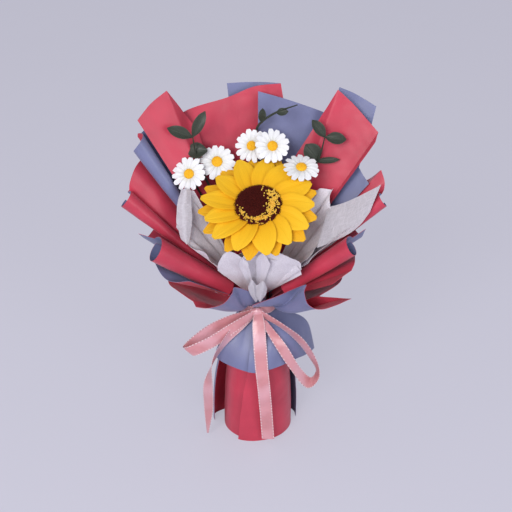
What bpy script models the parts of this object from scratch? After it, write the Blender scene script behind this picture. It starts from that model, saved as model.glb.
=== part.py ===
# Hand bouquet of one paper sunflower, five daisies and three leaf sprigs.
# Two-tone wrapping paper is gathered round the stems at a tied neck: above the
# neck each sheet fans out with its front edge rolled over, and below it the
# outer sheets make the skirt and the foot that the bouquet stands on.
# Metres, +Z up, +X right, -Y is the front that the flowers face.
# Pieces are placed from the neck; at the end the whole bouquet is moved so that the
# origin is at the middle of its outline, on the surface that it stands on.

import math

import bmesh
import bpy
import numpy as np
from mathutils import Matrix, Vector

MM = 0.001

# Neck and foot; the band is where all the sheets run straight down under the ribbon
NECK_HEIGHT = 156 * MM
NECK_BAND_TOP = -1 * MM
NECK_BAND_BOTTOM = -12 * MM
FOOT_RADIUS = 35 * MM

# Sheets; BELLY_PEAK is the most that v * (1 - v) ** 2 reaches along a ray
PAPER_THICKNESS = 0.4 * MM
LAYER_GAP = 0.3 * MM
TISSUE_THICKNESS = 0.3 * MM
TISSUE_GAP = 0.4 * MM
TISSUE_LAYERS = 4
PAPER_LAYERS = 12
ROLL_START = 0.18
ROLL_FACET = 36
FOOT_EASE = 2.6
FOOT_GAP = 1.1 * MM
TAIL_LENGTH = 60 * MM
TISSUE_TAIL = 30 * MM
LEAST_TURN = 0.7
NESTING = 0.8
WELD = 1e-6
STEPS = 2
RULED = (1.0, ROLL_START, 0.0)
BELLIED = (1.0, 0.55, ROLL_START, 0.0)
HEM_STATIONS = (0.12, 0.32, 1.0)
FRONT_BELLY = 0.12
BELLY_PEAK = 4 / 27
WING_FLARES = (0, 0, 0, 9 * MM, 8 * MM)
RIGHT_WING_FLARES = (0, 0, 0, 3 * MM, 3 * MM)
PLEAT_FLARES = (0, 0, 0, 0, 3 * MM)

# Stems
SUNFLOWER_STEM_RADIUS = 3.0 * MM
DAISY_STEM_RADIUS = 1.0 * MM
SPRIG_STEM_RADIUS = 1.1 * MM
STEM_SLOT_RADIUS = 5.0 * MM
SLOTS = 8
SLOT_STEP = 31.0
STEM_BEND = 40 * MM
STEM_END_HEIGHT = 30 * MM
TAPE_THICKNESS = 0.8 * MM
TAPE_HEIGHT = 16 * MM
TAPE_FACETS = 16
SEAT_GAP = 0.3 * MM
BACK_SLOT_TURN = 90.0

# Sunflower
SUNFLOWER_RADIUS = 53 * MM
SUNFLOWER_CENTRE = Vector((1, -30, 110.5)) * MM
SUNFLOWER_FACING = Vector((-0.08, -0.52, 0.85))
PETALS_PER_RING = 13
PETAL_RING_STEP = 4 * MM
PETAL_RISE = 2.2 * MM
PETAL_VARIETY = 0.04
PETAL_THICKNESS = 0.8 * MM
HUB_RADIUS = 8 * MM
DISC_RADIUS = 21.5 * MM
DISC_HEIGHT = 8 * MM
SEED_HEAD_FACETS = 18
CALYX_RADIUS = 13 * MM
CALYX_HEIGHT = 9 * MM

# Daisies
DAISY_RADIUS = 15.8 * MM
DAISY_PETALS = 14
DAISY_THICKNESS = 0.7 * MM
DAISY_HUB = DAISY_STEM_RADIUS + 0.1 * MM
DAISY_CUP = 2.0 * MM
DAISY_NECK = 9 * MM
DAISY_EYE_RADIUS = 4.9 * MM
DAISY_EYE_HEIGHT = 3.0 * MM
EYE_FACETS = 9

# Leaves
LEAF_THICKNESS = 1.3 * MM
LEAF_FACING = Vector((0.1, -0.9, 0.5))

# Ribbon
RIBBON_THICKNESS = 0.5 * MM
BAND_WIDTH = 8 * MM
BAND_FACETS = 24
BAND_THICKNESS = 1.0 * MM
KNOT_SIZE = (11 * MM, 6 * MM, 8 * MM)
KNOT_ROUNDING = 1.8 * MM
RIBBON_LEVEL = (NECK_BAND_TOP + NECK_BAND_BOTTOM) / 2

# Colours, linear
RED = (0.50, 0.050, 0.085)
BLUE = (0.16, 0.19, 0.36)
TISSUE_WHITE = (0.72, 0.68, 0.74)
PINK = (0.72, 0.30, 0.30)
SUN_YELLOW = (0.90, 0.50, 0.02)
SEED_BROWN = (0.06, 0.012, 0.010)
DAISY_WHITE = (0.85, 0.86, 0.86)
EYE_YELLOW = (0.85, 0.42, 0.03)
LEAF_GREEN = (0.035, 0.065, 0.035)
STEM_GREEN = (0.05, 0.12, 0.04)


def material(name, colour, roughness, metallic=0.0):
    """One Principled material, made once and shared."""
    found = bpy.data.materials.get(name)
    if found:
        return found
    made = bpy.data.materials.new(name)
    made.use_nodes = True
    shader = made.node_tree.nodes["Principled BSDF"]
    shader.inputs["Base Color"].default_value = (*colour, 1)
    shader.inputs["Roughness"].default_value = roughness
    shader.inputs["Metallic"].default_value = metallic
    return made


def new_collection(name):
    made = bpy.data.collections.new(name)
    bpy.context.scene.collection.children.link(made)
    return made


def link(obj, collection, finish=None):
    collection.objects.link(obj)
    if finish:
        obj.data.materials.append(finish)
    return obj


def neck_point(radius, turn, z=0.0):
    """A point relative to the neck centre; turn 0 is +X, 90 the back, 270 the front."""
    a = math.radians(turn)
    return np.array([radius * math.cos(a), radius * math.sin(a), z])


def turn_of(point):
    return math.degrees(math.atan2(point[1], point[0]))


def tape_radius():
    """Inner radius of the tape round the bundle of stems."""
    thickest = max(DAISY_STEM_RADIUS, SPRIG_STEM_RADIUS)
    return STEM_SLOT_RADIUS + thickest + SEAT_GAP


def tissue_radius(layer):
    """Radius at the neck of a tissue layer, counted from the inside."""
    inside = tape_radius() + TAPE_THICKNESS + SEAT_GAP + TISSUE_THICKNESS / 2
    return inside + layer * (TISSUE_THICKNESS + TISSUE_GAP)


def layer_radius(layer):
    """Radius at the neck of a paper layer, counted from the inside."""
    inside = tissue_radius(TISSUE_LAYERS - 1) + TISSUE_THICKNESS / 2
    return inside + LAYER_GAP + PAPER_THICKNESS / 2 + layer * (PAPER_THICKNESS + LAYER_GAP)


def bend_height(radius):
    """Height above the neck centre where a layer bends outward: inner layers bend higher."""
    return NECK_BAND_TOP + (layer_radius(PAPER_LAYERS - 1) - radius) * NESTING


def smooth_row(knots, corners, steps):
    """Catmull-Rom through the knots, sampled, with a sharp turn at each corner index."""
    knots = np.asarray(knots, float)
    last = len(knots) - 1
    out = [knots[0]]
    for i in range(last):
        a, b = knots[i], knots[i + 1]
        before = knots[i - 1] if i > 0 and i not in corners else 2 * a - b
        after = knots[i + 2] if i + 2 <= last and i + 1 not in corners else 2 * b - a
        for k in range(1, steps + 1):
            t = k / steps
            straight = 2 * a + (b - before) * t
            bend = (2 * before - 5 * a + 4 * b - after) * t**2
            out.append(0.5 * (straight + bend + (3 * a - before - 3 * b + after) * t**3))
    return np.array(out)


def turns_at_neck(tips):
    """The turn under each tip, kept in order so that a sheet never doubles back at the neck."""
    turns = np.degrees(np.unwrap([math.radians(turn_of(t)) for t in tips]))
    way = 1 if turns[-1] > turns[0] else -1
    for i in range(1, len(turns)):
        turns[i] = way * max(way * turns[i], way * turns[i - 1] + LEAST_TURN)
    return turns


def bent_grid(name, points, present=None):
    """A flat grid of quads whose corners are moved to points[row][column]."""
    points = np.asarray(points, float)
    rows, columns = points.shape[:2]
    bm = bmesh.new()
    bmesh.ops.create_grid(bm, x_segments=columns - 1, y_segments=rows - 1, size=0.5)
    ordered = sorted(bm.verts, key=lambda v: (round(v.co.y, 5), round(v.co.x, 5)))
    unused = []
    for index, vert in enumerate(ordered):
        row, column = divmod(index, columns)
        vert.co = points[row][column]
        if present is not None and not present[row][column]:
            unused.append(vert)
    bmesh.ops.delete(bm, geom=unused, context="VERTS")
    bmesh.ops.remove_doubles(bm, verts=bm.verts, dist=WELD)
    mesh = bpy.data.meshes.new(name)
    bm.to_mesh(mesh)
    bm.free()
    return mesh


def thicken(obj, thickness):
    solid = obj.modifiers.new("thickness", "SOLIDIFY")
    solid.thickness = thickness
    solid.offset = 0
    return obj


def outward(tip):
    """Unit vector square to a ray from the neck, pointing out and down."""
    level = math.hypot(tip[0], tip[1])
    reach = math.hypot(level, tip[2])
    across = np.array([tip[0], tip[1], 0]) / level
    return across * tip[2] / reach - np.array([0, 0, 1]) * level / reach


def rolled_edge(roll, radius_at_neck, way):
    """Outer and inner ends of the rays of an edge that is rolled outward into a cone.

    roll: centre of the open end and its radius in mm, where on that circle the paper
    starts, how far it sweeps, both in degrees from the side nearest the flowers, how far
    in mm the cut end slopes back by the end of the sweep, and how wide the other end of
    the cone is as a share of the open end.
    """
    centre, size, begin, sweep, slope, taper = roll
    centre = np.array(centre) * MM
    root = neck_point(radius_at_neck, turn_of(centre), bend_height(radius_at_neck))
    along = (centre - root) / np.linalg.norm(centre - root)
    inward = -outward(centre)
    side = np.cross(along, inward)
    if turn_change(centre, side) * way < 0:
        side = -side
    count = round(sweep / ROLL_FACET)
    tips, ends = [], []
    for k in range(count + 1):
        angle = math.radians(begin + sweep * k / count)
        rim = size * MM * (math.cos(angle) * inward + math.sin(angle) * side)
        tips.append(centre + rim + along * slope * MM * k / count)
        ends.append(root + (centre - root) * ROLL_START + rim * taper)
    return tips, ends


def turn_change(point, step):
    """Sign of the turn made by moving from a point along a step."""
    return point[0] * step[1] - point[1] * step[0]


def cylindrical(points):
    """Points as radius, turn and height, with the turns following on from each other."""
    points = np.asarray(points, float)
    turns = np.degrees(np.unwrap([math.radians(turn_of(p)) for p in points]))
    return np.column_stack([np.hypot(points[:, 0], points[:, 1]), turns, points[:, 2]])


def hem_rows(neck, low, ease_from, ease_to):
    """Rows from the neck down to the hem that swing out and round together."""
    low = smooth_row(low, (), STEPS)
    top = cylindrical(neck[: len(low)])
    low[:, 1] += 360 * round((top[0, 1] - low[0, 1]) / 360)
    powers = np.linspace(ease_from, ease_to, len(low))
    rows = []
    for w in HEM_STATIONS:
        ease = 1 - (1 - w) ** powers
        shares = np.column_stack([ease, ease, np.full(len(low), w)])
        row = [neck_point(*place) for place in top + (low - top) * shares]
        rows.append(np.concatenate([row, neck[len(low) :]]))
    return rows


def sheet(
    name,
    radius,
    rim,
    finish,
    collection,
    corners=(),
    turns=None,
    roll=None,
    hem=None,
    hem_ease=(FOOT_EASE, FOOT_EASE),
    belly=0.0,
    thickness=PAPER_THICKNESS,
    tail=TAIL_LENGTH,
):
    """A sheet gathered at the neck, ruled from there to its rim.

    rim: points in mm from the neck centre, from one side edge to the other.
    turns: turns at the neck for the rim points, where they aren't straight under them.
    roll: the last edge rolled outward, as rolled_edge takes it.
    hem: lower points in mm for the first rim points; without it the sheet ends in a short
    tail inside the foot.
    hem_ease: how early the hem swings out, at its first and its last point.
    """
    tips = smooth_row(rim, corners, STEPS) * MM
    if turns is None:
        turns = turns_at_neck(tips)
    else:
        turns = smooth_row([[t] for t in turns], (), STEPS)[:, 0]
    top = bend_height(radius)
    starts = np.array([neck_point(radius, t, top) for t in turns])
    neck = np.array([neck_point(radius, t, NECK_BAND_BOTTOM) for t in turns])
    upper = BELLIED if belly else RULED
    bulge = np.array([outward(t) * np.linalg.norm(t - s) for t, s in zip(tips, starts)]) * belly
    rows = [starts + (tips - starts) * v + bulge * v * (1 - v) ** 2 / BELLY_PEAK for v in upper]
    rows.append(neck)
    columns = len(tips)
    if hem is None:
        rows.append(neck - np.array([0, 0, tail + NECK_BAND_BOTTOM]))
        hung = columns
    else:
        low = cylindrical(np.array(hem) * MM)
        hung = (len(low) - 1) * STEPS + 1
        rows += hem_rows(neck, low, *hem_ease)
    points = np.array(rows)
    present = np.ones(points.shape[:2], bool)
    present[len(upper) + 1 :, hung:] = False
    if roll:
        way = 1 if turns[-1] > turns[0] else -1
        roll_tips, roll_ends = rolled_edge(roll, radius, way)
        extra = np.zeros((len(rows), len(roll_tips), 3))
        there = np.zeros(extra.shape[:2], bool)
        for row, v in enumerate(upper):
            if v >= ROLL_START:
                share = (v - ROLL_START) / (1 - ROLL_START)
                ends = np.array(roll_ends)
                extra[row] = ends + (np.array(roll_tips) - ends) * share
                there[row] = True
        points = np.concatenate([points, extra], axis=1)
        present = np.concatenate([present, there], axis=1)
    points[:, :, 2] += NECK_HEIGHT
    obj = bpy.data.objects.new(name, bent_grid(name, points, present))
    link(obj, collection, finish)
    return thicken(obj, thickness)


def floor_points(places):
    """Hem points on the floor, from (turn, radius) pairs, in mm from the neck centre."""
    level = -NECK_HEIGHT
    return [neck_point(radius, turn, level) / MM for turn, radius in places]


def foot_points(turns, layer, flares=None):
    """Hem points round the foot; flares are extra radii."""
    flares = flares or [0] * len(turns)
    radius = FOOT_RADIUS + layer * (PAPER_THICKNESS + FOOT_GAP)
    return floor_points([(t, radius + f) for t, f in zip(turns, flares)])


def back_papers(collection, red, blue):
    """The four sheets that stand up behind the flowers."""
    sheet(
        "left_panel_paper",
        layer_radius(0),
        [(-56, 34, 161), (-68, 31, 178), (-82, 24, 201), (-95, 18, 192), (-102, 14, 185), (-108, 9, 178)],
        red,
        collection,
        corners=(2,),
    )
    sheet(
        "right_panel_paper",
        layer_radius(0),
        [
            (36, 25, 138),
            (55, 27, 169),
            (73, 24, 202),
            (88, 20, 189),
            (101, 14, 176),
            (110, 8, 167),
            (107, 2, 160),
        ],
        red,
        collection,
        corners=(2, 5),
    )
    sheet(
        "back_right_paper",
        layer_radius(1),
        [(0.8, 38, 196.5), (30, 38, 188), (61, 38, 177), (68, 38, 172)],
        blue,
        collection,
    )
    sheet(
        "back_left_paper",
        layer_radius(2),
        [
            (-84, 26, 156),
            (-70, 42, 175),
            (-28, 47, 188),
            (-3, 48, 198),
            (22, 48, 201),
            (25, 46, 185),
            (32, 43, 150),
        ],
        red,
        collection,
        corners=(4,),
    )
    sheet(
        "back_centre_paper",
        layer_radius(3),
        [(-28.5, 54, 199.5), (-10, 56, 200), (8, 56, 200), (22, 54, 199.5)],
        blue,
        collection,
    )


def side_papers(collection, red, blue):
    """The sheets that fan out beside the flowers."""
    sheet(
        "left_second_paper",
        layer_radius(4),
        [(-52, 66, 158), (-78, 50, 165), (-97, 31, 168), (-110, 17, 160)],
        blue,
        collection,
        roll=((-112, 8, 162), 8.5, -75, 290, -5, 0.18),
    )
    sheet(
        "right_second_paper",
        layer_radius(4),
        [
            (75, 30, 202.5),
            (90, 31, 196),
            (109, 25, 186),
            (104, 21, 164),
            (95, 13, 131),
            (99, 8, 125),
            (104, 3, 119),
        ],
        blue,
        collection,
        corners=(2, 4),
    )
    sheet(
        "left_third_paper",
        layer_radius(5),
        [(-62, 70, 135), (-92, 46, 138), (-106, 22, 138), (-113, 8, 133), (-118, 1, 121), (-119, 0, 114)],
        red,
        collection,
        roll=((-122, -10, 110), 8.5, -65, 310, -3, 0.22),
    )
    sheet(
        "right_third_paper",
        layer_radius(5),
        [(56, 66, 116), (84, 44, 107), (103, 22, 114), (115, 7, 131), (118, 1, 122), (118, 0, 114)],
        red,
        collection,
        corners=(3,),
        roll=((117, -10, 109), 7, -65, 290, -3, 0.22),
    )


def foot_papers(collection, red, blue):
    """The sheets that flare low above the neck and run down to the floor as the foot."""
    sheet(
        "left_roll_paper",
        layer_radius(6),
        [(-70, 58, 74), (-92, 34, 70), (-105, 10, 62), (-106, -6, 66), (-111, -15, 76)],
        red,
        collection,
        turns=(120, 146, 172, 198, 222),
        roll=((-95, -34, 70), 12, -60, 345, -4, 0.4),
        hem=foot_points((150, 178, 206, 234, 262), 0),
    )
    sheet(
        "right_roll_paper",
        layer_radius(7),
        [(66, 58, 74), (86, 34, 70), (98, 10, 64), (99, -6, 68), (101, -15, 81)],
        red,
        collection,
        turns=(60, 34, 8, -18, -42),
        roll=((88, -33, 73), 9.5, -60, 345, -4, 0.4),
        hem=foot_points((26, -6, -40, -82, -120), 1, PLEAT_FLARES),
        hem_ease=(FOOT_EASE, 4.5),
    )
    sheet(
        "left_lower_paper",
        layer_radius(8),
        [
            (8, 84, 66),
            (-50, 72, 52),
            (-84, 40, 46),
            (-99, 6, 42),
            (-95, -24, 46),
            (-83, -38, 37),
            (-62, -46, 34),
        ],
        red,
        collection,
        hem=foot_points((84, 122, 152, 172, 184), 2, WING_FLARES),
    )
    sheet(
        "right_lower_paper",
        layer_radius(9),
        [
            (-8, 88, 60),
            (50, 74, 54),
            (80, 42, 50),
            (93, 8, 49),
            (92, -24, 52),
            (88, -34, 47),
            (70, -44, 38),
        ],
        red,
        collection,
        corners=(5,),
        hem=foot_points((96, 60, 34, 16, 4), 3, RIGHT_WING_FLARES),
    )
    sheet(
        "left_front_paper",
        layer_radius(10),
        [
            (8, -25, 12),
            (1, -27, 16),
            (-9, -35, 26),
            (-21, -46, 36),
            (-23, -57, 36),
            (-31, -62, 28),
            (-45, -58, 21),
            (-57, -50, 17),
            (-60, -43, 19),
            (-76, -30, 23),
            (-86, -14, 24),
            (-84, 10, 28),
        ],
        blue,
        collection,
        corners=(7, 8),
        belly=FRONT_BELLY,
        hem=[
            (9, -43, -61),
            (1, -44, -62),
            (-7, -44, -62),
            (-15, -42, -61),
            (-23, -40, -59),
            (-31, -37, -57),
            (-37, -34, -55),
            (-42, -29, -53),
        ],
        hem_ease=(1.5, 1.8),
    )
    sheet(
        "right_front_paper",
        layer_radius(11),
        [
            (-5, -31, 7),
            (5, -32, 12),
            (21, -40, 24),
            (44, -48, 40),
            (43, -57, 37),
            (47, -63, 27),
            (61, -59, 20),
            (88, -45, 23),
            (59, -34, 19),
            (80, -19, 26),
            (83, 4, 29),
            (75, 24, 34),
        ],
        blue,
        collection,
        corners=(7, 8),
        belly=FRONT_BELLY,
        hem=[
            (-9, -47, -60),
            (-2, -47, -61),
            (6, -46, -60),
            (14, -45, -58),
            (23, -41, -57),
            (32, -35, -56),
            (41, -27, -57),
            (48, -18, -60),
            (54, -6, -64),
            (60, 8, -69),
        ],
        hem_ease=(1.5, 5.0),
    )


def wrapping_papers(collection):
    red = material("red_paper", RED, 0.45)
    blue = material("blue_paper", BLUE, 0.5)
    back_papers(collection, red, blue)
    side_papers(collection, red, blue)
    foot_papers(collection, red, blue)


TISSUES = {
    "left_tissue": (
        1,
        [
            (-58, -7, 116),
            (-68, -12, 121),
            (-71, -19, 106),
            (-72, -26, 90),
            (-65, -30, 75),
            (-48, -38, 66),
            (-38, -42, 58),
        ],
        (1, 4),
    ),
    "right_tissue": (
        1,
        [
            (50, 0, 113),
            (60, -3, 116),
            (70, -6, 118),
            (66, -13, 97),
            (62, -22, 82),
            (54, -32, 68),
            (40, -42, 60),
        ],
        (2,),
    ),
    "right_corner_tissue": (
        2,
        [
            (76, -6, 92),
            (95, -8, 109),
            (113, -10, 123),
            (101, -16, 102),
            (87, -24, 86),
            (74, -26, 80),
            (60, -33, 70),
            (45, -41, 58),
        ],
        (2, 4),
    ),
    "front_tissue": (
        3,
        [
            (-37, -47, 57),
            (-28, -54, 70),
            (-13, -50, 77),
            (-5, -47, 76),
            (7, -54, 70),
            (25, -53, 72),
            (38, -49, 58),
            (41, -43, 48),
        ],
        (3,),
    ),
}


def tissue_papers(collection):
    white = material("tissue_paper", TISSUE_WHITE, 0.8)
    for name, (layer, rim, corners) in TISSUES.items():
        sheet(
            name,
            tissue_radius(layer),
            rim,
            white,
            collection,
            corners=corners,
            thickness=TISSUE_THICKNESS,
            tail=TISSUE_TAIL,
        )


def head_frame(name, centre, facing, collection):
    """An empty at a flower's centre whose local +Z is the way the flower faces."""
    empty = bpy.data.objects.new(name, None)
    empty.location = Vector((0, 0, NECK_HEIGHT)) + centre
    empty.rotation_euler = facing.to_track_quat("Z", "Y").to_euler()
    collection.objects.link(empty)
    return empty


def petal_ring(name, hub, petals, columns_each, rows, reach, height, thickness, finish, parent, collection):
    """One cut ring of petals round a hub.

    reach(across, index) is a petal's outline and height(radius, across) its rise, where
    across goes from -1 to 1 over a petal.
    """
    columns = petals * columns_each
    points = []
    for row in range(rows + 1):
        ring = []
        for column in range(columns + 1):
            across = (column % columns_each) / columns_each * 2 - 1
            index = (column // columns_each) % petals
            angle = 2 * math.pi * (column % columns) / columns
            radius = hub + (reach(across, index) - hub) * row / rows
            ring.append((radius * math.cos(angle), radius * math.sin(angle), height(radius, across)))
        points.append(ring)
    obj = bpy.data.objects.new(name, bent_grid(name, points))
    obj.parent = parent
    link(obj, collection, finish)
    return thicken(obj, thickness)


def turned(name, profile, steps, finish, collection, parent=None, z=0.0):
    """A profile of (radius, height) from the top down, turned about local Z."""
    mesh = bpy.data.meshes.new(name)
    points = [(r, 0, h) for r, h in profile]
    edges = [(i, i + 1) for i in range(len(points) - 1)]
    mesh.from_pydata(points, edges, [])
    obj = bpy.data.objects.new(name, mesh)
    obj.parent = parent
    obj.location = (0, 0, z)
    link(obj, collection, finish)
    screw = obj.modifiers.new("turn", "SCREW")
    screw.steps = steps
    screw.render_steps = steps
    screw.use_merge_vertices = True
    screw.merge_threshold = 1e-5
    screw.use_normal_calculate = True
    return obj


def bend(start, middle, end, count=5):
    """Points along one smooth bend from start to end, drawn toward the middle point."""
    start, middle, end = np.array(start), np.array(middle), np.array(end)
    parts = [k / count for k in range(count + 1)]
    return [start * (1 - t) ** 2 + middle * 2 * t * (1 - t) + end * t * t for t in parts]


def wire(name, path, radius, finish, collection, detail=0):
    """A round wire along the path, relative to the neck centre."""
    curve = bpy.data.curves.new(name, "CURVE")
    curve.dimensions = "3D"
    curve.bevel_depth = radius
    curve.bevel_resolution = detail
    curve.use_fill_caps = True
    spline = curve.splines.new("POLY")
    spline.points.add(len(path) - 1)
    for point, co in zip(spline.points, path):
        point.co = (co[0], co[1], co[2] + NECK_HEIGHT, 1)
    curve.materials.append(finish)
    return link(bpy.data.objects.new(name, curve), collection)


def down_through_neck(index):
    """The lower run of a thin stem, in its place beside the sunflower's stem."""
    turn = BACK_SLOT_TURN + (index - (SLOTS - 1) / 2) * SLOT_STEP
    low = STEM_END_HEIGHT - NECK_HEIGHT
    return [neck_point(STEM_SLOT_RADIUS, turn, z) for z in (TAPE_HEIGHT * 0.7, low)]


def pointed_petal(across, index):
    """Sunflower petal outline: full, drawn to a point, with a notch to the next one."""
    full = 0.46 + 0.54 * (1 - abs(across)) ** 0.6
    return SUNFLOWER_RADIUS * full * (1 + PETAL_VARIETY * math.sin(index * 2.4))


def sunflower(collection):
    yellow = material("sunflower_petal", SUN_YELLOW, 0.7)
    brown = material("seed_head", SEED_BROWN, 0.9)
    green = material("stem_plastic", STEM_GREEN, 0.6)
    facing = SUNFLOWER_FACING.normalized()
    frame = head_frame("sunflower_head", SUNFLOWER_CENTRE, facing, collection)
    back_frame = bpy.data.objects.new("sunflower_back", None)
    back_frame.parent = frame
    back_frame.location = (0, 0, -PETAL_RING_STEP)
    back_frame.rotation_euler = (0, 0, math.pi / PETALS_PER_RING)
    collection.objects.link(back_frame)

    def rise(radius, across):
        part = radius / SUNFLOWER_RADIUS
        return PETAL_RISE * (math.sin(part * 3.0) - part * (0.7 + 0.5 * abs(across)))

    for name, parent in (("sunflower_front_petals", frame), ("sunflower_back_petals", back_frame)):
        petal_ring(
            name,
            HUB_RADIUS,
            PETALS_PER_RING,
            4,
            2,
            pointed_petal,
            rise,
            PETAL_THICKNESS,
            yellow,
            parent,
            collection,
        )
    disc = [
        (0, DISC_HEIGHT),
        (DISC_RADIUS * 0.45, DISC_HEIGHT * 0.92),
        (DISC_RADIUS * 0.72, DISC_HEIGHT * 0.60),
        (DISC_RADIUS * 0.92, DISC_HEIGHT * 0.48),
        (DISC_RADIUS, DISC_HEIGHT * 0.22),
        (DISC_RADIUS * 0.96, 0),
        (0, 0),
    ]
    crest = (HUB_RADIUS + SUNFLOWER_RADIUS) / 2
    share = (DISC_RADIUS - HUB_RADIUS) / (crest - HUB_RADIUS)
    under_edge = rise(HUB_RADIUS, 0) * (1 - share) + rise(crest, 0) * share
    seat = under_edge + PETAL_THICKNESS / 2 + SEAT_GAP
    turned("sunflower_seed_head", disc, SEED_HEAD_FACETS, brown, collection, frame, seat)
    under = -PETAL_RING_STEP - PETAL_THICKNESS / 2 - SEAT_GAP
    calyx = [
        (0, 0),
        (CALYX_RADIUS, -CALYX_HEIGHT * 0.1),
        (CALYX_RADIUS * 0.8, -CALYX_HEIGHT * 0.45),
        (SUNFLOWER_STEM_RADIUS * 1.5, -CALYX_HEIGHT),
        (0, -CALYX_HEIGHT),
    ]
    turned("sunflower_calyx", calyx, 14, green, collection, frame, under)
    away = np.array(facing)
    top = np.array(SUNFLOWER_CENTRE) + away * (under - CALYX_HEIGHT - SEAT_GAP)
    low = STEM_END_HEIGHT - NECK_HEIGHT
    path = [*bend(top, top - away * STEM_BEND, (0, 0, TAPE_HEIGHT)), (0, 0, low)]
    wire("sunflower_stem", path, SUNFLOWER_STEM_RADIUS, green, collection, 1)


# Daisies: centre in mm from the neck centre, way it faces, slot at the neck, size.
DAISIES = {
    "daisy_1": ((-63, 4, 128), (-0.15, -0.80, 0.58), 7, 1.00),
    "daisy_2": ((-37.5, 15.5, 135.6), (0.0, -0.80, 0.60), 5, 1.0),
    "daisy_3": ((-5, 21.5, 149.3), (-0.25, -0.88, 0.42), 4, 0.98),
    "daisy_4": ((14, 13, 152), (0.05, -0.82, 0.57), 2, 1.02),
    "daisy_5": ((40, -5.2, 137.8), (0.05, -0.52, 0.85), 0, 1.06),
}


def daisies(collection):
    white = material("daisy_petal", DAISY_WHITE, 0.7)
    yellow = material("daisy_eye", EYE_YELLOW, 0.85)
    green = material("stem_plastic", STEM_GREEN, 0.6)
    for name, (centre, facing, slot, size) in DAISIES.items():
        facing = Vector(facing).normalized()
        frame = head_frame(name + "_head", Vector(centre) * MM, facing, collection)

        def outline(across, index):
            notch = 0.8 if abs(across) > 0.99 else 1.0
            return DAISY_RADIUS * size * notch * (1 + PETAL_VARIETY * math.sin(index * 1.9))

        def rise(radius, across):
            return DAISY_CUP * radius / DAISY_RADIUS

        petal_ring(
            name + "_petals",
            DAISY_HUB,
            DAISY_PETALS,
            3,
            1,
            outline,
            rise,
            DAISY_THICKNESS,
            white,
            frame,
            collection,
        )
        eye = [
            (0, DAISY_EYE_HEIGHT),
            (DAISY_EYE_RADIUS * 0.6, DAISY_EYE_HEIGHT * 0.85),
            (DAISY_EYE_RADIUS, DAISY_EYE_HEIGHT * 0.35),
            (DAISY_EYE_RADIUS * 0.9, 0),
            (0, 0),
        ]
        seat = DAISY_CUP * DAISY_EYE_RADIUS / DAISY_RADIUS + DAISY_THICKNESS / 2 + SEAT_GAP
        turned(name + "_eye", eye, EYE_FACETS, yellow, collection, frame, seat)
        away = np.array(facing)
        head = np.array(centre) * MM - away * (DAISY_THICKNESS / 2 + SEAT_GAP)
        upper, lower = down_through_neck(slot)
        path = [*bend(head, head - away * DAISY_NECK, upper), lower]
        wire(name + "_stem", path, DAISY_STEM_RADIUS, green, collection)


def leaf(name, base, tip, width, finish, collection):
    """A pointed oval leaf from base to tip, cupped toward the front."""
    along = tip - base
    length = along.length
    bm = bmesh.new()
    bmesh.ops.create_uvsphere(bm, u_segments=8, v_segments=5, radius=0.5)
    for vert in bm.verts:
        x, y, z = vert.co
        pointed = 1 - 0.5 * (2 * z) ** 2
        vert.co = (x * width * pointed, y * LEAF_THICKNESS + abs(x) * width * 0.25, z * length)
    mesh = bpy.data.meshes.new(name)
    bm.to_mesh(mesh)
    bm.free()
    mesh.shade_smooth()
    obj = bpy.data.objects.new(name, mesh)
    z_axis = along.normalized()
    y_axis = (LEAF_FACING - z_axis * LEAF_FACING.dot(z_axis)).normalized()
    x_axis = y_axis.cross(z_axis)
    obj.rotation_euler = Matrix((x_axis, y_axis, z_axis)).transposed().to_euler()
    obj.location = (base + tip) / 2 + Vector((0, 0, NECK_HEIGHT))
    return link(obj, collection, finish)


def meshed(obj, collection):
    """The same object as a closed mesh, so that a Boolean can take it."""
    bpy.context.view_layer.update()
    graph = bpy.context.evaluated_depsgraph_get()
    mesh = bpy.data.meshes.new_from_object(obj.evaluated_get(graph))
    bm = bmesh.new()
    bm.from_mesh(mesh)
    bmesh.ops.remove_doubles(bm, verts=bm.verts, dist=WELD)
    bm.to_mesh(mesh)
    bm.free()
    name = obj.name
    made = bpy.data.objects.new(name, mesh)
    made.matrix_world = obj.matrix_world
    collection.objects.link(made)
    bpy.data.objects.remove(obj)
    made.name = name
    return made


def united(obj, others, collection, helpers):
    """Joins the others to obj with Boolean unions; the others become helpers."""
    for other in others:
        collection.objects.unlink(other)
        helpers.objects.link(other)
        other.hide_render = True
        other.display_type = "WIRE"
        join = obj.modifiers.new("join " + other.name, "BOOLEAN")
        join.operation = "UNION"
        join.solver = "EXACT"
        join.object = other
    return obj


# Sprigs: slot at the neck, stem from its tip in mm, and leaves as base, tip and width.
SPRIGS = {
    "sprig_left": (
        6,
        [(-59, 9, 164), (-56, 14, 140), (-45, 13, 112)],
        [
            ((-59, 9, 162), (-81, 6, 172), 11),
            ((-59, 9, 162), (-47, 10, 186), 10),
            ((-55, 14, 138), (-43, 20, 153), 16),
            ((-55, 14, 138), (-64, 17, 150), 13),
        ],
    ),
    "sprig_top": (
        3,
        [(36, 10, 192), (19, 16, 184), (5, 22, 173), (-1, 29, 160), (-1, 28, 130)],
        [
            ((4, 22, 172), (5, 18, 186), 7),
            ((17, 16, 183), (28, 13, 185), 7),
        ],
    ),
    "sprig_right": (
        1,
        [(62, 9, 164), (57, 12, 140), (43, 10, 112)],
        [
            ((62, 9, 162), (50, 10, 178), 10),
            ((62, 9, 162), (81, 6, 161), 11),
            ((56, 13, 138), (45, 12, 154), 17),
            ((54, 13, 137), (76, 8, 141), 6),
        ],
    ),
}


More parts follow.
